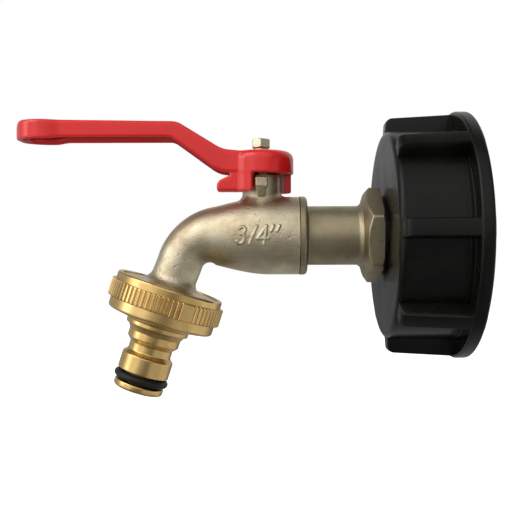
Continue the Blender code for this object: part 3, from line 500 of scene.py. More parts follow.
@dataclass(frozen=True)
class Finish:
    """A surface finish: two linear tones and roughnesses mixed by a pattern.

    The relief is the height of its bumps in millimetres. The scales are
    those of the pattern, in its own order, where they aren't the usual ones.
    The tilt turns the pattern about Y.
    """

    name: str
    tone: Triple
    other_tone: Triple
    roughness: tuple[float, float]
    scales: tuple[float, ...] = ()
    relief: float = 0.02
    metallic: float = 0.0
    coat: float = 0.0
    specular: float = 0.5
    pattern: str = "casting_skin"
    tilt: float = 0.0

    def material(self) -> bpy.types.Material:
        """Build the finish as a material on Object coordinates."""
        material, nodes, shader = new_material(self.name)
        place = nodes.add("Mapping", {"Vector": nodes.add("TexCoord", output="Object"),
                                      "Rotation": (0.0, self.tilt, 0.0)})
        pattern = nodes.add("Group", node_tree=bpy.data.node_groups[self.pattern]).node
        nodes.feed(pattern, dict(enumerate((place, *self.scales))))
        mask, height = pattern.outputs
        low, high = self.roughness
        nodes.feed(shader, {
            "Base Color": nodes.add("Mix", {"Factor": mask, "A": (*self.tone, 1.0),
                                            "B": (*self.other_tone, 1.0)}, "Result", data_type="RGBA"),
            "Roughness": nodes.add("MapRange", {"Value": mask, "To Min": low, "To Max": high}),
            "Normal": nodes.add("Bump", {"Height": height, "Distance": self.relief * MM}),
            "Metallic": self.metallic, "Coat Weight": self.coat, "Coat Roughness": 0.12,
            "Specular IOR Level": self.specular})
        return material


class Workshop:
    """Places finished pieces: gives each its finish, slot, body and replaced node."""

    def __init__(self, frame: dict, finishes: dict[Slot, Finish]) -> None:
        """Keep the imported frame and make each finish's material once."""
        self.frame = frame
        self.materials = {slot: finish.material() for slot, finish in finishes.items()}

    def dress(self, obj: Object, slot: Slot, body: Body, node: str, finish: Finish | None = None) -> None:
        """Finish a new piece and let it ride on a body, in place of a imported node.

        Args:
            obj: The piece.
            slot: Its material slot in the record.
            body: The rigid body that it rides on.
            node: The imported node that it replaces.
            finish: A finish of its own, where it differs from its slot's.
        """
        self.paint(obj, finish.material() if finish else self.materials[slot])
        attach(obj, body.value)
        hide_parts(node)
        LOG.info("%s: %d faces, rides on %s", obj.name, len(obj.data.polygons), body.value)

    def keep(self, node: str, slot: Slot) -> None:
        """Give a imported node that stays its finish."""
        self.paint(self.frame["nodes"][node], self.materials[slot])
        LOG.info("%s: packed solid kept", node)

    def paint(self, obj: Object, material: bpy.types.Material) -> None:
        """Make a material the only one of an object."""
        obj.data.materials.clear()
        obj.data.materials.append(material)


def packed_box(node: str) -> tuple[Vector, Vector]:
    """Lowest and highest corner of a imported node, in millimetres."""
    low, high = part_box(node)
    return low / MM, high / MM


@dataclass(frozen=True)
class Layout:
    """Places shared by the sub-assemblies; right is towards the cap's mouth."""

    gap: float
    nozzle_length: float
    cap_face: float
    seal_face: float
    hex_right: float
    hex_left: float
    collar_right: float
    collar_left: float
    body_mouth: float
    stem: float
    outlet: Triple
    spout_along: Triple

    @staticmethod
    def read(frame: dict, gap: float = 0.3, hex_thickness: float = 6.4, shank_length: float = 16.8,
             collar_thickness: float = 2.3, nozzle_length: float = 34.5) -> "Layout":
        """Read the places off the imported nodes, joints and mounts, and lay out those between them."""
        seal_face = packed_box("tailpiece_seal")[0].x
        steps = np.cumsum([gap, hex_thickness, shank_length, collar_thickness, gap])
        mount = next(m for m in frame["record"]["mounts"] if m["name"] == "nozzle_end")
        along = Vector(mount["axis"]).normalized()
        end = Vector((mount["pos_m"][0], 0.0, mount["pos_m"][2])) / MM
        return Layout(gap, nozzle_length, packed_box("threaded_cap")[0].x, seal_face, *(seal_face - steps),
                      frame["joints"][0]["pos_m"][0] / MM, tuple(end - along * nozzle_length), tuple(along))

    @property
    def inlet(self) -> Axis:
        """Axis of the cap and the tailpiece; heights are places along X."""
        return Axis((0.0, 0.0, 0.0), (1.0, 0.0, 0.0), (0.0, -1.0, 0.0))

    @property
    def spindle(self) -> Axis:
        """Axis of the stem and the lever."""
        return Axis((self.stem, 0.0, 0.0), (0.0, 0.0, 1.0), (1.0, 0.0, 0.0))

    @property
    def spout(self) -> Axis:
        """Axis of the outlet and the connector, out of the spout."""
        return Axis(self.outlet, self.spout_along, (0.0, -1.0, 0.0))

    @property
    def tilt(self) -> float:
        """Angle of the spout from straight down."""
        return math.atan2(-self.spout_along[0], -self.spout_along[2])


# Sub-assemblies


@dataclass
class Assembly:
    """Pieces that are built together."""

    layout: Layout
    shop: Workshop

    def build(self) -> None:
        """Build and dress the pieces."""
        raise NotImplementedError


@dataclass
class ScrewCap(Assembly):
    """The moulded cap with grip ribs, rim flange and coarse inner thread, and its gasket."""

    flange_radius: float = 39.0
    flange_thickness: float = 4.1
    drum_radius: float = 33.0
    face_round: float = 3.0
    bore_radius: float = 30.0
    bore_chamfer: float = 1.0
    plate: float = 3.2
    boss_radius: float = 15.0
    boss_length: float = 7.2
    hole_radius: float = 10.6
    ribs: int = 8
    rib_phase: float = math.radians(-2.4)
    rib_root_half: float = 2.95
    rib_tip_half: float = 2.0
    rib_front_radius: float = 37.2
    rib_back_radius: float = 38.4
    rib_start: float = 0.8
    rib_round: float = 2.2
    thread_pitch: float = 6.0
    thread_depth: float = 1.7
    thread_start: float = 2.2
    thread_end: float = 17.0
    thread_fade: float = 2.0
    gasket_inner: float = 21.5
    gasket_thickness: float = 3.0

    def angles(self) -> Array:
        """Angles round the cap, closer together on the flanks of the ribs."""
        half = math.pi / self.ribs
        rib = self.rib_root_half / self.drum_radius
        top = self.rib_tip_half / self.drum_radius * 0.8
        side = np.concatenate([np.linspace(0.0, top, 4)[:-1], np.linspace(top, rib, 10)[:-1],
                               np.linspace(rib, half, 11)])
        sector = np.concatenate([side[:-1], 2 * half - side[:0:-1]])
        return (circle(self.ribs)[:, None] + sector).ravel() + self.rib_phase

    def ribbed(self, radius: Array, angle: Array, place: Array) -> Array:
        """Raise the ribs over the drum.

        Formula: the rib's own radius leans out from front to back. It is
        reached through a step across the rib's width, its front top corner
        drops as a quarter circle, and the higher of drum and rib is kept.
        """
        behind = place - self.layout.cap_face
        lean = np.clip(behind / (-self.flange_thickness - self.layout.cap_face), 0.0, 1.0)
        crest = self.rib_front_radius + (self.rib_back_radius - self.rib_front_radius) * lean
        half = math.pi / self.ribs
        across = np.abs((angle - self.rib_phase + half) % (2 * half) - half) * self.drum_radius
        step = smooth_step(self.rib_root_half, self.rib_tip_half, across)
        behind = behind - self.rib_start
        rise = (crest - round_off(behind, self.rib_round) - radius) * np.sqrt(step)
        outside = (radius > self.bore_radius + 2.0) & (behind > 0.0)
        return np.where(outside, radius + np.maximum(rise, 0.0), radius)

    def threaded(self, radius: Array, angle: Array, place: Array) -> Array:
        """Raise the coarse thread's ridge in the bore, as a helix with flat-topped flanks."""
        phase = (-place / self.thread_pitch + angle / TAU) % 1.0
        ridge = smooth_step(0.16, 0.34, phase) * (1.0 - smooth_step(0.52, 0.78, phase))
        fade = smooth_step(self.thread_start, self.thread_start + self.thread_fade, -place)
        fade *= 1.0 - smooth_step(self.thread_end - self.thread_fade, self.thread_end, -place)
        bore = np.abs(radius - self.bore_radius) < 0.02
        return np.where(bore, radius - self.thread_depth * ridge * fade, radius)

    def relief(self, radius: Array, angle: Array, place: Array) -> Array:
        """Radius with the ribs and the thread."""
        return self.threaded(self.ribbed(radius, angle, place), angle, place)

    def build(self) -> None:
        """Build the cap and the flat ring in its bottom."""
        face, back = self.layout.cap_face, -self.flange_thickness
        inner = face + self.plate
        boss = inner + self.boss_length
        bore, drum, chamfer = self.bore_radius, self.drum_radius, self.bore_chamfer
        plain = -self.thread_end - 1.0
        loop = np.concatenate([
            open_path([(bore, -chamfer, 0.0), (bore + chamfer, 0.0, 0.3), (self.flange_radius, 0.0, 0.9),
                       (self.flange_radius, back, 0.9), (drum + 2.0, back, 0.0)], 1.2),
            open_path([(drum + 2.0, back, 0.0), (drum + 0.4, back, 0.3), (drum + 0.4, back - 1.5, 0.15),
                       (drum, back - 1.6, 0.05), (drum, face, self.face_round),
                       (drum - 4.0, face, 0.0)], 0.3, 14)[1:],
            open_path([(drum - 4.0, face, 0.0), (self.hole_radius, face, 0.3),
                       (self.hole_radius, boss, 0.3), (self.boss_radius, boss, 0.4),
                       (self.boss_radius, inner, 0.8), (bore, inner, 0.8), (bore, plain, 0.0)], 1.6)[1:],
            open_path([(bore, plain, 0.0), (bore, -chamfer, 0.0)], 0.45)[1:-1]])
        cap = turned("screw_cap", loop, self.layout.inlet, self.angles(), self.relief)
        self.shop.dress(cap, Slot.CAP, Body.TAP, "threaded_cap")
        low = inner + self.layout.gap
        high = low + self.gasket_thickness
        hole, outer, edge = self.gasket_inner, bore - self.layout.gap, 0.3
        loop = outline([(hole, (low + high) / 2, 0.0), (hole, high, edge), (outer, high, edge),
                        (outer, low, edge), (hole, low, edge)])
        gasket = turned("gasket_ring", loop, self.layout.inlet)
        self.shop.dress(gasket, Slot.RUBBER, Body.TAP, "cap_gasket")


@dataclass
class Tailpiece(Assembly):
    """The turned inlet tailpiece: stub, hexagon, shank, collar and insert, and its seal."""

    bore: float = 6.2
    throat: float = 4.8
    stub_radius: float = 10.3
    hexagon: Hexagon = Hexagon(26.6, math.radians(38.3), 0.25, 0.15)
    cone_step: float = 1.45
    shank_radius: float = 9.4
    collar_radius: float = 12.5
    insert_radius: float = 9.9
    insert_end: float = 7.7
    seal_inner: float = 10.6
    seal_outer: float = 12.6
    seal_thickness: float = 0.6
    finish: Finish = Finish("dull_nickel", (0.40, 0.345, 0.235), (0.27, 0.22, 0.13), (0.38, 0.50),
                            (1300.0, 90.0), relief=0.03, metallic=1.0)

    def build(self) -> None:
        """Build the tailpiece and the ring under its hexagon."""
        at, reach = self.layout, self.hexagon.reach
        stub_end = packed_box("inlet_tailpiece")[1].x
        insert = at.stem + self.insert_end
        loop = outline([
            (self.bore, stub_end - 2.0, 0.0), (self.bore, stub_end, 0.4),
            (self.stub_radius, stub_end, 0.5), (self.stub_radius, at.hex_right, 0.2),
            (reach - 0.7, at.hex_right, 0.2), (reach, at.hex_right - 0.5, 0.3),
            (reach, at.hex_left + 2 * self.cone_step, 0.4),
            (self.hexagon.flats / 2, at.hex_left + self.cone_step, 0.8),
            (self.shank_radius + 0.9, at.hex_left + 0.5, 0.5), (self.shank_radius, at.hex_left - 0.6, 1.2),
            (self.shank_radius, at.collar_right, 0.5),
            (self.collar_radius, at.collar_right, 1.35), (self.collar_radius, at.collar_left, 0.12),
            (self.insert_radius, at.collar_left, 0.1), (self.insert_radius, insert, 0.2),
            (self.throat, insert, 0.2), (self.throat, at.body_mouth, 0.5),
            (self.bore, at.body_mouth + 1.4, 0.5)], spacing=0.42)
        piece = turned("tailpiece", loop, at.inlet, circle(240, self.hexagon.turn), self.hexagon.limit, 50.0)
        self.shop.dress(piece, Slot.NICKEL, Body.TAP, "inlet_tailpiece", self.finish)
        high = at.seal_face + self.seal_thickness
        loop = outline([(self.seal_inner, at.seal_face, 0.0), (self.seal_inner, high, 0.1),
                        (self.seal_outer, high, 0.2), (self.seal_outer, at.seal_face, 0.2)])
        self.shop.dress(turned("seal_ring", loop, at.inlet), Slot.RUBBER, Body.TAP, "tailpiece_seal")


@dataclass
class TapBody(Assembly):
    """The cast body: barrel, bend and spout as one sweep, with neck, stop lug and size mark."""

    barrel_radius: float = 12.4
    spout_radius: float = 7.25
    taper_start: float = 8.6
    taper_length: float = 32.0
    corner: float = 23.3
    bend_radius: float = 12.0
    spout_drop: float = 17.35
    outlet_offset: float = 0.45
    bore_radius: float = 4.6
    chamber_radius: float = 9.3
    chamber_right: float = 7.4
    chamber_left: float = 7.7
    insert_radius: float = 10.2
    collar_room: float = 0.9
    collar_depth: float = 2.2
    shoulder_radius: float = 15.4
    shoulder_thickness: float = 1.2
    shoulder_dome: float = 0.6
    shoulder_fillet: float = 3.3
    thread_radius: float = 13.0
    thread_root: float = 12.5
    outlet_length: float = 7.8
    lip_reach: float = 0.12
    lip_round: float = 0.15
    neck_radius: float = 6.0
    neck_bore: float = 3.6
    neck_top: float = 19.2
    neck_flare: float = 1.9
    neck_edge: float = 0.35
    neck_sunk: float = 1.2
    lug_half: float = 2.05
    lug_back: float = 3.0
    lug_reach: float = 9.0
    lug_foot: float = 6.4
    lug_foot_half: float = 1.45
    lug_bottom: float = 12.0
    lug_top: float = 18.4
    lug_step: float = 15.2
    lug_jut: float = 0.9
    lug_round: float = 0.8
    lug_corner: float = 0.6
    mark_scale: float = 0.93
    mark_lean: float = 0.12
    mark_left: float = 7.65
    mark_down: float = 2.84
    mark_size: tuple[float, float] = (17.0, 7.3)
    mark_margin: float = 0.9
    mark_grain: float = 0.1
    mark_sunk: float = 0.02
    mark_depth: float = 0.6
    mark_height: float = 0.38
    mark_half_width: float = 0.42
    mark_strokes: tuple[tuple[tuple[float, float], ...], ...] = (
        ((4.2, 0.0), (5.9, 6.1)), ((9.1, 0.0), (9.1, 6.0), (6.7, 1.9), (10.2, 1.9)),
        ((10.9, 4.4), (11.4, 6.1)), ((12.8, 4.4), (13.4, 6.1)))

    @property
    def bend(self) -> tuple[float, float, float]:
        """Angle of the bend, length of its tangents, and length of the line before it."""
        angle = RIGHT_ANGLE - self.layout.tilt
        tangent = self.bend_radius * math.tan(angle / 2)
        return angle, tangent, self.layout.body_mouth - (self.layout.stem - self.corner + tangent)

    def centre_line(self, run: Array) -> tuple[Array, Array]:
        """Centre line of the body at a distance from its mouth.

        Formula: straight along -X, then an arc, then straight along the
        spout, with a small side step of the outlet eased in over the spout.

        Returns:
            Points and the unit directions across the line towards its
            bend's inner side, each (..., 3).
        """
        angle, tangent, straight = self.bend
        turn = np.clip((run - straight) / self.bend_radius, 0.0, angle)
        rest = np.maximum(run - straight - self.bend_radius * angle, 0.0)
        side = self.outlet_offset * smooth_step(0.0, self.spout_drop - tangent, rest)
        x = (self.layout.body_mouth - np.minimum(run, straight) - self.bend_radius * np.sin(turn)
             - rest * math.cos(angle) - side * math.sin(angle))
        z = self.bend_radius * (np.cos(turn) - 1.0) - rest * math.sin(angle) + side * math.cos(angle)
        flat = np.zeros_like(run)
        return np.stack([x, flat, z], -1), np.stack([np.sin(turn), flat, -np.cos(turn)], -1)

    def radius_at(self, run: Array) -> Array:
        """Outer radius at a distance from the mouth: half a cosine from barrel to spout."""
        share = np.clip((run - self.taper_start) / self.taper_length, 0.0, 1.0)
        taper = self.barrel_radius - self.spout_radius
        return self.spout_radius + taper * (1 + np.cos(math.pi * share)) / 2

    def wall(self) -> Array:
        """Closed (radius, run) outline of the body's wall, outside and inside."""
        angle, tangent, straight = self.bend
        end = straight + self.bend_radius * angle + self.spout_drop - tangent
        top = end - self.shoulder_dome - self.shoulder_fillet
        edge, fillet = self.lip_round, self.shoulder_fillet
        quarter = np.linspace(0.0, RIGHT_ANGLE, 14)
        lip = np.stack([self.barrel_radius - edge + edge * np.sin(quarter),
                        edge - edge * np.cos(quarter) - self.lip_reach], 1)
        run = np.linspace(edge + 0.4, top - 0.4, 90)
        skin = np.stack([self.radius_at(run), run], 1)
        flare = np.stack([self.spout_radius + fillet * (1 - np.cos(quarter)),
                          top + fillet * np.sin(quarter)], 1)
        rim, thread, low = self.shoulder_radius, self.thread_radius, end + self.outlet_length
        disc = [(rim - 3.0, end - 0.35), (rim - 0.3, end), (rim, end + 0.3),
                (rim, end + self.shoulder_thickness), (self.thread_root, end + self.shoulder_thickness),
                (self.thread_root, end + 2.2), (thread, end + 2.7), (thread, low - 0.3), (thread - 0.3, low)]
        middle = self.layout.body_mouth - self.layout.stem
        near, far = middle - self.chamber_right, middle + self.chamber_left
        run = np.linspace(low, far, 50)
        bore = np.stack([np.full(50, self.bore_radius), run], 1)
        insert = self.insert_radius
        room = [(self.chamber_radius, far), (self.chamber_radius, near), (insert, near),
                (insert, self.collar_depth), (insert + self.collar_room, self.collar_depth),
                (insert + self.collar_room, -self.lip_reach)]
        return np.concatenate([lip, skin, flare, disc, bore, room])

    def shell(self) -> Object:
        """Sweep the wall's outline along the centre line."""
        loop = self.wall()
        turn = circle(128)[None, :, None]
        middle, across = self.centre_line(loop[:, 1])
        ring = np.cos(turn) * across[:, None] + np.sin(turn) * (0.0, -1.0, 0.0)
        return surface("body_casting", middle[:, None] + loop[:, 0, None, None] * ring)

    def on_barrel(self, radius: Array, lift: Array, turn: Array) -> Array:
        """Points round the stem that stand above the barrel's skin by a lift."""
        x = self.layout.stem + radius[:, None] * np.cos(turn)
        y = radius[:, None] * np.sin(turn)
        skin = np.sqrt(self.radius_at(self.layout.body_mouth - x) ** 2 - y ** 2)
        return np.stack([x, y, skin + lift[:, None]], -1)

    def neck(self) -> Object:
        """Neck of the stem, its foot eased into the barrel.

        Formula: outside the neck's wall, the height is that of the barrel
        plus a quarter circle of the flare's radius, so the surface leaves
        the barrel at its own slope and reaches the wall upright.
        """
        turn = circle(96)
        bend = np.linspace(0.0, RIGHT_ANGLE, 12)
        wall, top, flare, edge = self.neck_radius, self.neck_top, self.neck_flare, self.neck_edge
        foot = self.on_barrel(wall + flare * (1 - np.cos(bend)), flare * (1 - np.sin(bend)), turn)
        sunk = self.on_barrel(np.array([wall + flare, self.neck_bore]), np.full(2, -self.neck_sunk), turn)
        crown = np.array([(self.neck_bore, top), (wall - edge, top), (wall - edge * 0.3, top - edge * 0.3),
                          (wall, top - edge), (wall, top - 2.0)])
        crown = self.layout.spindle.place(*around(crown, turn))
        return surface("neck", np.concatenate([crown, foot, sunk]))

    def lug(self) -> Object:
        """Stop lug on the neck's front: a stack of rounded sections from its foot to its top.

        Formula: the block keeps its width and reach. Below it the foot
        narrows and slants back to the neck along smooth steps, and both ends
        of the stack draw in as quarter circles.
        """
        low, high, ends, jut = self.lug_bottom, self.lug_top, self.lug_round, self.lug_jut
        curl = ends * (1 - np.cos(np.linspace(0.15, RIGHT_ANGLE, 9)))
        levels = np.concatenate([low + curl, np.linspace(low + ends, high - ends, 40)[1:-1],
                                 high - curl[::-1]])
        draw = round_off(np.minimum(levels - low, high - levels), ends)
        block = smooth_step(self.lug_step - 1.0, self.lug_step + 0.3, levels)
        slant = smooth_step(low - 1.0, self.lug_step, levels)
        reach = self.lug_foot + (self.lug_reach - jut - self.lug_foot) * slant + jut * block - draw
        half = self.lug_foot_half + (self.lug_half - self.lug_foot_half) * block - draw
        x, depth = sections(half, self.lug_back, reach, (self.lug_corner, self.lug_corner), 7)
        z = np.broadcast_to(levels[:, None], x.shape)
        return surface("lug", np.stack([self.layout.stem + x, -depth, z], -1), wrap_rows=False)

    def strokes(self) -> Array:
        """Strokes of the pipe size, three quarters of an inch, as segments of shape (n, 2, 2)."""
        upper = np.linspace(2.55, -1.65, 12)
        lower = np.linspace(1.65, -2.55, 14)
        three = np.concatenate([np.stack([1.15 + 1.05 * np.cos(upper), 4.75 + 1.3 * np.sin(upper)], 1),
                                np.stack([1.05 + 1.3 * np.cos(lower), 1.75 + 1.75 * np.sin(lower)], 1)])
        chains = [three, *map(np.array, self.mark_strokes)]
        segments = np.concatenate([np.stack([chain[:-1], chain[1:]], 1) for chain in chains])
        segments[..., 0] += self.mark_lean * segments[..., 1]
        return segments * self.mark_scale

    def mark(self) -> Object:
        """Raised size mark on the side of the barrel.

        Formula: a patch lies a hair under the barrel's skin. Each of its
        points rises by a soft step of its distance from the nearest stroke.
        """
        segments, half = self.strokes(), self.mark_half_width
        u, v = np.meshgrid(*(np.arange(-self.mark_margin, size, self.mark_grain) for size in self.mark_size),
                           indexing="ij")
        start, delta = segments[:, 0], segments[:, 1] - segments[:, 0]
        offset = np.stack([u, v], -1)[..., None, :] - start
        share = np.clip((offset * delta).sum(-1) / (delta ** 2).sum(-1), 0.0, 1.0)
        gap = np.linalg.norm(offset - share[..., None] * delta, axis=-1).min(-1)
        rise = self.mark_height * (1.0 - smooth_step(half * 0.35, half * 1.7, gap))
        x = self.layout.stem - self.mark_left + u
        skin = self.radius_at(self.layout.body_mouth - x)
        turn = (v - self.mark_down) / self.barrel_radius
        outer, inner = (np.stack([x, -radius * np.cos(turn), radius * np.sin(turn)], -1)
                        for radius in (skin - self.mark_sunk + rise, skin - self.mark_depth))
        return surface("mark", np.concatenate([outer, inner[:, ::-1]], 1), wrap_rows=False)

    def build(self) -> None:
        """Build the casting as one piece."""
        body = joined("body_casting", [self.shell(), self.neck(), self.lug(), self.mark()])
        self.shop.dress(body, Slot.NICKEL, Body.TAP, "tap_body")


@dataclass
class Lever(Assembly):
    """The die-cast lever: channelled arm, hub, split skirt and beak, with its nut."""

    hub_radius: float = 10.3
    hub_top: float = 26.8
    hub_round: float = 2.6
    hole: float = 1.6
    ceiling: float = 19.5
    skirt_radius: float = 10.25
    skirt_wall: float = 2.4
    skirt_bottom: float = 13.7
    stop_gap: float = 0.3
    travel: float = RIGHT_ANGLE
    length: float = 77.9
    top_corners: tuple[Triple, ...] = ((0.0, 26.0, 0.0), (-12.2, 27.1, 9.0), (-26.3, 35.7, 6.0),
                                       (-78.5, 36.5, 0.0))
    under_corners: tuple[Triple, ...] = ((0.0, 19.9, 0.0), (-13.4, 19.9, 9.0), (-28.3, 30.75, 4.5),
                                         (-78.5, 30.75, 0.0))
    root_half: float = 7.4
    grip_half: float = 8.0
    grip_start: float = 26.0
    tip_radius: float = 9.3
    tip_round: float = 3.0
    tip_under: float = 1.3
    tip_blend: float = 1.2
    tip_drop: float = 0.5
    drop_start: float = 62.5
    drop_end: float = 67.5
    arm_start: float = 3.0
    arm_fine: float = 60.0
    edge: float = 1.0
    low_edge: float = 0.45
    wall: float = 1.9
    roof: float = 2.4
    hollow_start: float = 9.6
    hollow_fine: float = 62.0
    hollow_edge: float = 0.9
    fine_step: float = 0.6
    bevel: float = 1.2
    bevel_full: float = 14.0
    below: float = 6.0
    sliver: float = 0.02
    beak_front: float = 7.2
    beak_back: float = 2.0
    voxel: float = 0.27
    passes: int = 7
    nut_hexagon: Hexagon = Hexagon(5.5, math.radians(28.0), 0.1, 0.08)
    nut_thickness: float = 2.8
    nut_finish: Finish = Finish("bright_nickel", (0.76, 0.70, 0.54), (0.58, 0.51, 0.36), (0.20, 0.30),
                                (2600.0,), metallic=1.0)

    def half_width(self, x: Array, inset: float) -> Array:
        """Half width of the arm at a place: root, grip, and the round tip, drawn in by an inset."""
        grip = np.interp(-x, [self.hub_radius, self.grip_start], [self.root_half, self.grip_half]) - inset
        from_tip = x + self.length - self.tip_radius
        tip = np.sqrt(np.maximum((self.tip_radius - inset) ** 2 - from_tip ** 2, 0.0))
        blend = -soft_min(-grip, -tip, self.tip_blend)
        return np.where(from_tip < 0.0, tip, np.where(from_tip < self.tip_radius * 0.75, blend, grip))

    def line(self, x: Array, corners: Sequence[Triple]) -> Array:
        """Height at a place along the arm of a line with rounded corners."""
        points = rounded(corners, 10)
        return np.interp(-x, -points[:, 0], points[:, 1])

    def top_line(self, x: Array) -> Array:
        """Height of the arm's top: hub, crank and gently rising grip."""
        return self.line(x, self.top_corners)

    def under_line(self, x: Array) -> Array:
        """Height of the arm's underside, which drops a little towards the tip."""
        drop = self.tip_drop * smooth_step(self.drop_start, self.drop_end, -x)
        return self.line(x, self.under_corners) - drop

    def loft(self, name: str, x: Array, half: Array, top: Array, bottom: Array,
             corners: tuple[float, float], spread: float = 0.0) -> Object:
        """Carry a rounded rectangle along the arm; see sections() for its sizes."""
        y, z = sections(half, bottom, top, corners, 6, spread)
        along = np.broadcast_to(self.layout.stem + x[:, None], y.shape)
        return surface(name, np.stack([along, y, z], -1), wrap_rows=False)

    def arm(self) -> Object:
        """Arm with its hollow underside taken out, and the hollow's mouth bevelled."""
        tip = -self.length + self.tip_round * (1 - np.sin(np.linspace(0.06, RIGHT_ANGLE, 18)))
        x = np.concatenate([np.linspace(-self.arm_start, -self.arm_fine, 110),
                            np.linspace(-self.arm_fine - self.fine_step, tip[0], 40), tip[1:]])
        into = x + self.length
        arm = self.loft("arm", x, np.maximum(self.half_width(x, 0.0), 0.4),
                        self.top_line(x) - round_off(into, self.tip_round),
                        self.under_line(x) + round_off(into, self.tip_under), (self.edge, self.low_edge))
        end = -self.length + self.wall
        rest = -self.hollow_fine - self.fine_step - end
        x = np.concatenate([np.linspace(-self.hollow_start, -self.hollow_fine, 82),
                            end + rest * (1 - np.sin(np.linspace(0.0, 1.5, 40)))])
        half = np.maximum(self.half_width(x, self.wall), 0.3)
        under = self.under_line(x)
        floor = under - self.below
        cut(arm, self.loft("hollow", x, half, self.top_line(x) - self.roof, floor, (self.hollow_edge,) * 2))
        mouth = under + self.bevel * smooth_step(self.hollow_start, self.bevel_full, -x)
        cut(arm, self.loft("mouth", x, half - self.sliver, mouth, floor, (self.sliver,) * 2,
                           self.bevel + self.below))
        return arm

    def hub(self) -> Object:
        """Hub disc with its rounded crown and the hole for the stem."""
        loop = outline([(self.hole, 22.0, 0.0), (self.hole, self.hub_top, 0.2),
                        (self.hub_radius, self.hub_top, self.hub_round),
                        (self.hub_radius, self.ceiling, 0.3), (self.hole, self.ceiling, 0.2)])
        return turned("hub", loop, self.layout.spindle, circle(96))

    def skirt(self, name: str, start: float, end: float) -> Object:
        """One wall of the skirt: a rectangle carried round the stem between two angles."""
        inner, outer, high = self.skirt_radius - self.skirt_wall, self.skirt_radius, self.ceiling + 1.5
        loop = outline([(inner, high, 0.0), (outer, high, 0.0), (outer, self.skirt_bottom, 0.5),
                        (inner, self.skirt_bottom, 0.3)], spacing=1.0)
        grid = self.layout.spindle.place(*around(loop, np.linspace(start, end, 40)))
        return surface(name, grid.swapaxes(0, 1), wrap_rows=False)

    def beak(self) -> Object:
        """Pointed foot beside the skirt: its side outline carried across, drawn in at both ends."""
        low = self.skirt_bottom
        loop = outline([(-5.0, 21.5, 0.0), (-9.6, 21.0, 0.0), (-9.4, 19.2, 1.0), (-13.2, low + 3.6, 1.0),
                        (-14.0, low + 2.4, 0.9), (-14.0, low, 0.9), (-5.0, low, 0.0)])
        across = np.array([0.0, 0.04, 0.12, 0.3, 0.6, 0.88, 0.96, 1.0])
        draw = np.array([0.6, 0.25, 0.05, 0.0, 0.0, 0.05, 0.25, 0.6])
        away = loop - loop.mean(0)
        away /= np.linalg.norm(away, axis=1)[:, None]
        x, z = np.moveaxis(loop - away * draw[:, None, None], -1, 0)
        y = np.broadcast_to(-self.beak_back - across[:, None] * (self.beak_front - self.beak_back), x.shape)
        return surface("beak", np.stack([self.layout.stem + x, y, z], -1), wrap_rows=False)

    def build(self) -> None:
        """Build the lever as one skin, then its nut.

        The skirt's walls leave the stop lug its own width, the stop gap on
        both sides and the travel.
        """
        margin = math.asin((TapBody.lug_half + self.stop_gap) / (self.skirt_radius - self.skirt_wall))
        start, end = self.travel + margin - RIGHT_ANGLE, RIGHT_ANGLE - margin
        walls = [self.skirt(f"skirt_{i}", start + i * math.pi, end + i * math.pi) for i in range(2)]
        lever = fused("lever_casting", [self.arm(), self.hub(), self.beak(), *walls], self.voxel, self.passes)
        self.shop.dress(lever, Slot.ENAMEL, Body.LEVER, "lever_handle")
        self.nut()

    def nut(self) -> None:
        """Build the hexagon nut with coned ends."""
        low = packed_box("handle_nut")[0].z
        high = low + self.nut_thickness
        reach, flat = self.nut_hexagon.reach, self.nut_hexagon.flats / 2 - 0.1
        loop = outline([(self.hole, (low + high) / 2, 0.0), (self.hole, high, 0.3), (flat, high, 0.1),
                        (reach, high - 0.35, 0.1), (reach, low + 0.35, 0.1), (flat, low, 0.1),
                        (self.hole, low, 0.2)], spacing=0.12)
        nut = turned("lever_nut", loop, self.layout.spindle, circle(144, self.nut_hexagon.turn),
                     self.nut_hexagon.limit, 50.0)
        self.shop.dress(nut, Slot.NICKEL, Body.LEVER, "handle_nut", self.nut_finish)


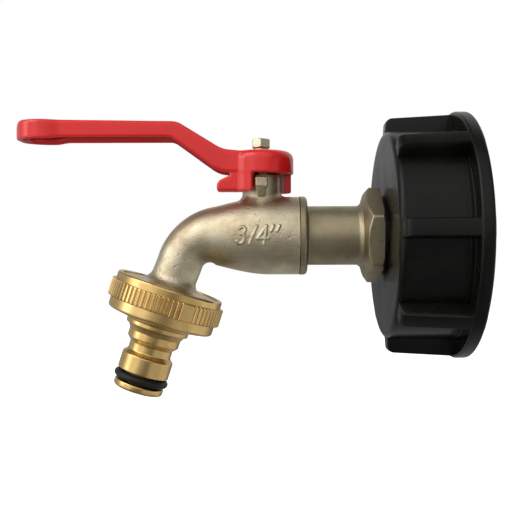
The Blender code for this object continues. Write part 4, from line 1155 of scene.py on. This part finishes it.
@dataclass
class Connector(Assembly):
    """The turned hose connector: rim, knurled band, click nozzle and its sealing ring."""

    rim_radius: float = 17.3
    rim_top: float = -0.5
    rim_depth: float = 2.1
    knurl_radius: float = 18.5
    knurl_depth: float = 0.6
    knurl_length: float = 5.5
    teeth: int = 72
    plain_centre: float = math.radians(-28.0)
    plain_width: float = math.radians(14.0)
    plain_fade: float = 0.01
    band_radius: float = 17.2
    band_end: float = 11.0
    counterbore: float = 15.7
    thread_radius: float = 13.3
    floor: float = 10.2
    bore: float = 5.0
    land_radius: float = 8.3
    end_radius: float = 8.0
    groove_radius: float = 6.2
    groove_start: float = 28.8
    groove_end: float = 32.2
    cord: float = 2.3

    def wall(self) -> Object:
        """Turn the connector's wall: rim, band, stepped nozzle, bore and counterbore."""
        end = self.layout.nozzle_length
        loop = outline([
            (self.bore, 20.0, 0.0), (self.bore, self.floor, 0.2), (self.thread_radius, self.floor, 0.2),
            (self.thread_radius, 1.5, 0.2), (self.counterbore, 1.5, 0.2),
            (self.counterbore, self.rim_top, 0.3), (self.rim_radius, self.rim_top, 0.7),
            (self.rim_radius, 2.0, 0.1), (self.band_radius, 7.7, 0.1), (self.band_radius, self.band_end, 0.9),
            (10.4, 12.4, 0.3), (10.2, 12.7, 0.5), (10.2, 14.0, 0.5), (9.1, 14.6, 0.3), (8.4, 15.9, 0.6),
            (8.4, 18.2, 0.5), (7.0, 19.6, 0.7), (7.0, 22.1, 0.6), (self.land_radius, 23.4, 0.5),
            (self.land_radius, self.groove_start, 0.35), (self.groove_radius, self.groove_start, 0.3),
            (self.groove_radius, self.groove_end, 0.3), (self.end_radius, self.groove_end, 0.4),
            (self.end_radius, end, 0.9), (self.bore, end, 0.4)], spacing=0.5)
        return turned("connector", loop, self.layout.spout, circle(144))

    def toothed(self, radius: Array, angle: Array, _height: Array) -> Array:
        """Cut the knurl's teeth into its band.

        Formula: the radius is the root plus the tooth height times a wave
        with flat tops; the wave is full on the plain stretch.
        """
        wave = (angle * self.teeth / TAU) % 1.0
        tooth = smooth_step(0.04, 0.34, wave) * (1.0 - smooth_step(0.66, 0.96, wave))
        from_plain = np.abs((angle - self.plain_centre + math.pi) % TAU - math.pi) - self.plain_width / 2
        plain = 1.0 - smooth_step(-self.plain_fade, self.plain_fade, from_plain)
        outside = smooth_step(self.band_radius - 0.5, self.knurl_radius - 0.3, radius)
        return radius - self.knurl_depth * (1.0 - np.maximum(tooth, plain)) * outside

    def knurl(self) -> Object:
        """Knurled band: a rounded wave of teeth round it, faded at both edges."""
        root, low, high = self.band_radius - 1.5, self.rim_depth, self.rim_depth + self.knurl_length
        loop = outline([(root, (low + high) / 2, 0.0), (root, low, 0.0), (self.knurl_radius, low, 0.35),
                        (self.knurl_radius, high, 0.35), (root, high, 0.0)], spacing=0.5, steps=5)
        return turned("knurl", loop, self.layout.spout, circle(self.teeth * 12), self.toothed)

    def build(self) -> None:
        """Build the connector and the ring in its groove."""
        body = joined("hose_connector", [self.wall(), self.knurl()])
        self.shop.dress(body, Slot.BRASS, Body.TAP, "tap_connector")
        turn, radius = circle(32), self.cord / 2
        loop = np.stack([self.groove_radius + self.layout.gap + radius * (1 + np.cos(turn)),
                         (self.groove_start + self.groove_end) / 2 + radius * np.sin(turn)], 1)
        ring = turned("nozzle_ring", loop, self.layout.spout, circle(144))
        self.shop.dress(ring, Slot.RUBBER, Body.TAP, "nozzle_o_ring")


# Studio


@dataclass(frozen=True)
class Glow:
    """A soft bright patch of the studio, as metal mirrors it: where it is, how wide, how bright."""

    direction: Triple
    start: float
    full: float
    level: float


@dataclass(frozen=True)
class Lamp:
    """A square soft lamp: where it hangs, its size in metres and its power in watts."""

    name: str
    place: Triple
    size: float
    power: float

    def hang(self, target: Vector) -> None:
        """Hang the lamp facing a point; only the world's glows are mirrored."""
        data = bpy.data.lights.new(self.name, "AREA")
        data.size = self.size
        data.energy = self.power
        obj = linked(self.name, data)
        obj.location = self.place
        obj.rotation_euler = (target - Vector(self.place)).to_track_quat("-Z", "Y").to_euler()
        obj.visible_glossy = False


@dataclass(frozen=True)
class Studio:
    """Floor, soft lamps, world and the photograph's camera, in metres."""

    camera_place: Triple = (-0.06595, -0.265, -0.0049)
    camera_pitch: float = math.radians(-0.343)
    camera_roll: float = math.radians(-0.181)
    focal_pixels: float = 827.2
    picture_pixels: float = 512.0
    sensor: float = 36.0
    floor_drop: float = 0.005
    floor_size: float = 8.0
    floor_white: float = 0.82
    floor_grey: float = 0.50
    fill: float = 0.38
    room_grey: float = 0.20
    lamps: tuple[Lamp, ...] = (
        Lamp("key_lamp", (-0.50, -0.38, 0.50), 0.45, 5.0),
        Lamp("side_lamp", (0.30, -0.60, 0.25), 0.4, 0.9),
        Lamp("back_lamp", (-0.1, 0.5, 0.5), 0.5, 1.5),
    )
    glows: tuple[Glow, ...] = (
        Glow((-0.85, -0.50, 0.12), 0.70, 0.97, 0.90),
        Glow((-0.93, -0.28, 0.26), 0.965, 0.998, 1.90),
        Glow((-0.90, 0.40, 0.10), 0.60, 0.95, 0.30),
        Glow((-0.70, -0.35, 0.62), 0.85, 0.99, 0.90),
        Glow((-0.12, -0.78, 0.62), 0.60, 0.94, 0.90),
        Glow((0.75, -0.55, -0.40), 0.75, 0.97, 0.42),
        Glow((0.88, 0.30, -0.20), 0.78, 0.97, 0.60),
        Glow((-0.15, 1.00, 0.42), 0.92, 0.99, 0.40),
        Glow((0.45, 0.70, 0.55), 0.70, 0.97, 0.45),
        Glow((0.00, 0.60, -0.80), 0.65, 0.97, 0.25),
        Glow((-0.55, -0.38, 0.74), 0.90, 0.99, 1.30),
    )

    def camera(self) -> None:
        """Place the camera where the photograph was taken."""
        data = bpy.data.cameras.new("camera")
        data.sensor_width = self.sensor
        data.lens = self.focal_pixels * self.sensor / self.picture_pixels
        data.clip_start = 0.01
        obj = linked("camera", data)
        obj.matrix_world = (Matrix.Translation(self.camera_place)
                            @ Matrix.Rotation(RIGHT_ANGLE + self.camera_pitch, 4, "X")
                            @ Matrix.Rotation(self.camera_roll, 4, "Z"))
        bpy.context.scene.camera = obj

    def world(self) -> None:
        """White to the camera, a dim fill, and in reflections a grey room with bright patches.

        Formula: the strength in reflections is the room's grey plus, for each
        patch, its level times a smooth step of the cosine between the ray
        and the patch's direction.
        """
        world = bpy.data.worlds.new("studio")
        world.use_nodes = True
        nodes = Nodes(world.node_tree)
        place = nodes.add("TexCoord", output="Generated")
        room: object = self.room_grey
        for glow in self.glows:
            cosine = nodes.add("VectorMath", {0: place, 1: Vector(glow.direction).normalized()}, "Value",
                               operation="DOT_PRODUCT")
            patch = nodes.add("MapRange", {"Value": cosine, "From Min": glow.start, "From Max": glow.full,
                                           "To Max": glow.level}, interpolation_type="SMOOTHSTEP")
            room = nodes.math("ADD", room, patch)
        rays = nodes.add("LightPath").node.outputs
        mirrored = nodes.math("MAXIMUM", rays["Is Glossy Ray"], rays["Is Transmission Ray"])
        strength: object = self.fill
        for chosen, value in ((mirrored, room), (rays["Is Camera Ray"], 1.0)):
            strength = nodes.add("Mix", {"Factor": chosen, "A": strength, "B": value}, "Result")
        nodes.feed(world.node_tree.nodes["Background"], {"Color": WHITE, "Strength": strength})
        world.cycles.sampling_method = "NONE"
        bpy.context.scene.world = world

    def floor(self, height: float) -> None:
        """Lay the pale floor, which keeps the shadow and fades to white for the camera."""
        half = self.floor_size / 2
        mesh = bpy.data.meshes.new("floor")
        mesh.from_pydata([(-half, -half, height), (half, -half, height), (half, half, height),
                          (-half, half, height)], [], [(0, 1, 2, 3)])
        material, nodes, shader = new_material("floor_paper")
        seen = nodes.add("LightPath", output="Is Camera Ray")
        nodes.feed(shader, {"Base Color": (*[self.floor_grey] * 3, 1.0), "Roughness": 0.9,
                            "Specular IOR Level": 0.0, "Emission Color": WHITE,
                            "Emission Strength": nodes.math("MULTIPLY", seen, self.floor_white)})
        mesh.materials.append(material)
        obj = linked("floor", mesh)
        obj.visible_glossy = False
        obj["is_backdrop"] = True

    def build(self, layout: Layout) -> None:
        """Set up the whole studio."""
        low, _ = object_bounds()
        self.camera()
        self.world()
        self.floor(low[2] - self.floor_drop)
        for lamp in self.lamps:
            lamp.hang(Vector((layout.stem * MM, 0.0, 0.0)))


def finishes(layout: Layout) -> dict[Slot, Finish]:
    """The finish of each material slot."""
    return {
        Slot.CAP: Finish("black_moulding", (0.0022, 0.0026, 0.0018), (0.0050, 0.0056, 0.0042),
                         (0.22, 0.32), (1500.0, 90.0), specular=0.18),
        Slot.NICKEL: Finish("satin_nickel", (0.66, 0.59, 0.435), (0.40, 0.325, 0.20), (0.33, 0.45),
                            (2100.0, 120.0), relief=0.10, metallic=1.0),
        Slot.BRASS: Finish("turned_brass", (0.67, 0.47, 0.195), (0.55, 0.355, 0.130), (0.20, 0.30),
                           relief=0.010, metallic=1.0, pattern="turning_marks", tilt=-layout.tilt),
        Slot.ENAMEL: Finish("red_enamel", (0.62, 0.010, 0.009), (0.56, 0.008, 0.007), (0.36, 0.44),
                            (500.0, 60.0), relief=0.012, coat=1.0, specular=0.08),
        Slot.RUBBER: Finish("seal_rubber", (0.0050, 0.0047, 0.0042), (0.010, 0.0095, 0.0085),
                            (0.45, 0.58), (1500.0,), specular=0.30),
        Slot.SEAT: Finish("seat_plastic", (0.78, 0.78, 0.75), (0.72, 0.72, 0.69), (0.40, 0.50),
                          (1200.0,), relief=0.01),
        Slot.CHROME: Finish("chromed_ball", (0.70, 0.71, 0.72), (0.66, 0.67, 0.68), (0.06, 0.12),
                            (1200.0,), relief=0.002, metallic=1.0),
    }


KEPT_NODES = {
    "tailpiece_o_ring": Slot.RUBBER,
    "ball_seat_inlet": Slot.SEAT,
    "ball_seat_outlet": Slot.SEAT,
    "ball": Slot.CHROME,
    "stem": Slot.BRASS,
    "stem_thrust_washer": Slot.SEAT,
    "stem_o_ring_lower": Slot.RUBBER,
    "stem_o_ring_upper": Slot.RUBBER,
    "handle_washer": Slot.NICKEL,
    "connector_washer": Slot.RUBBER,
}


def main() -> None:
    """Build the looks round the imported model."""
    logging.basicConfig(level=logging.INFO, format="%(name)s: %(message)s")
    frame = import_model()
    layout = Layout.read(frame)
    casting_skin()
    turning_marks()
    shop = Workshop(frame, finishes(layout))
    for assembly in (ScrewCap, Tailpiece, TapBody, Lever, Connector):
        assembly(layout, shop).build()
    for node, slot in KEPT_NODES.items():
        shop.keep(node, slot)
    Studio().build(layout)
    bpy.context.scene.view_settings.view_transform = "Standard"


if __name__ == "__main__":
    main()
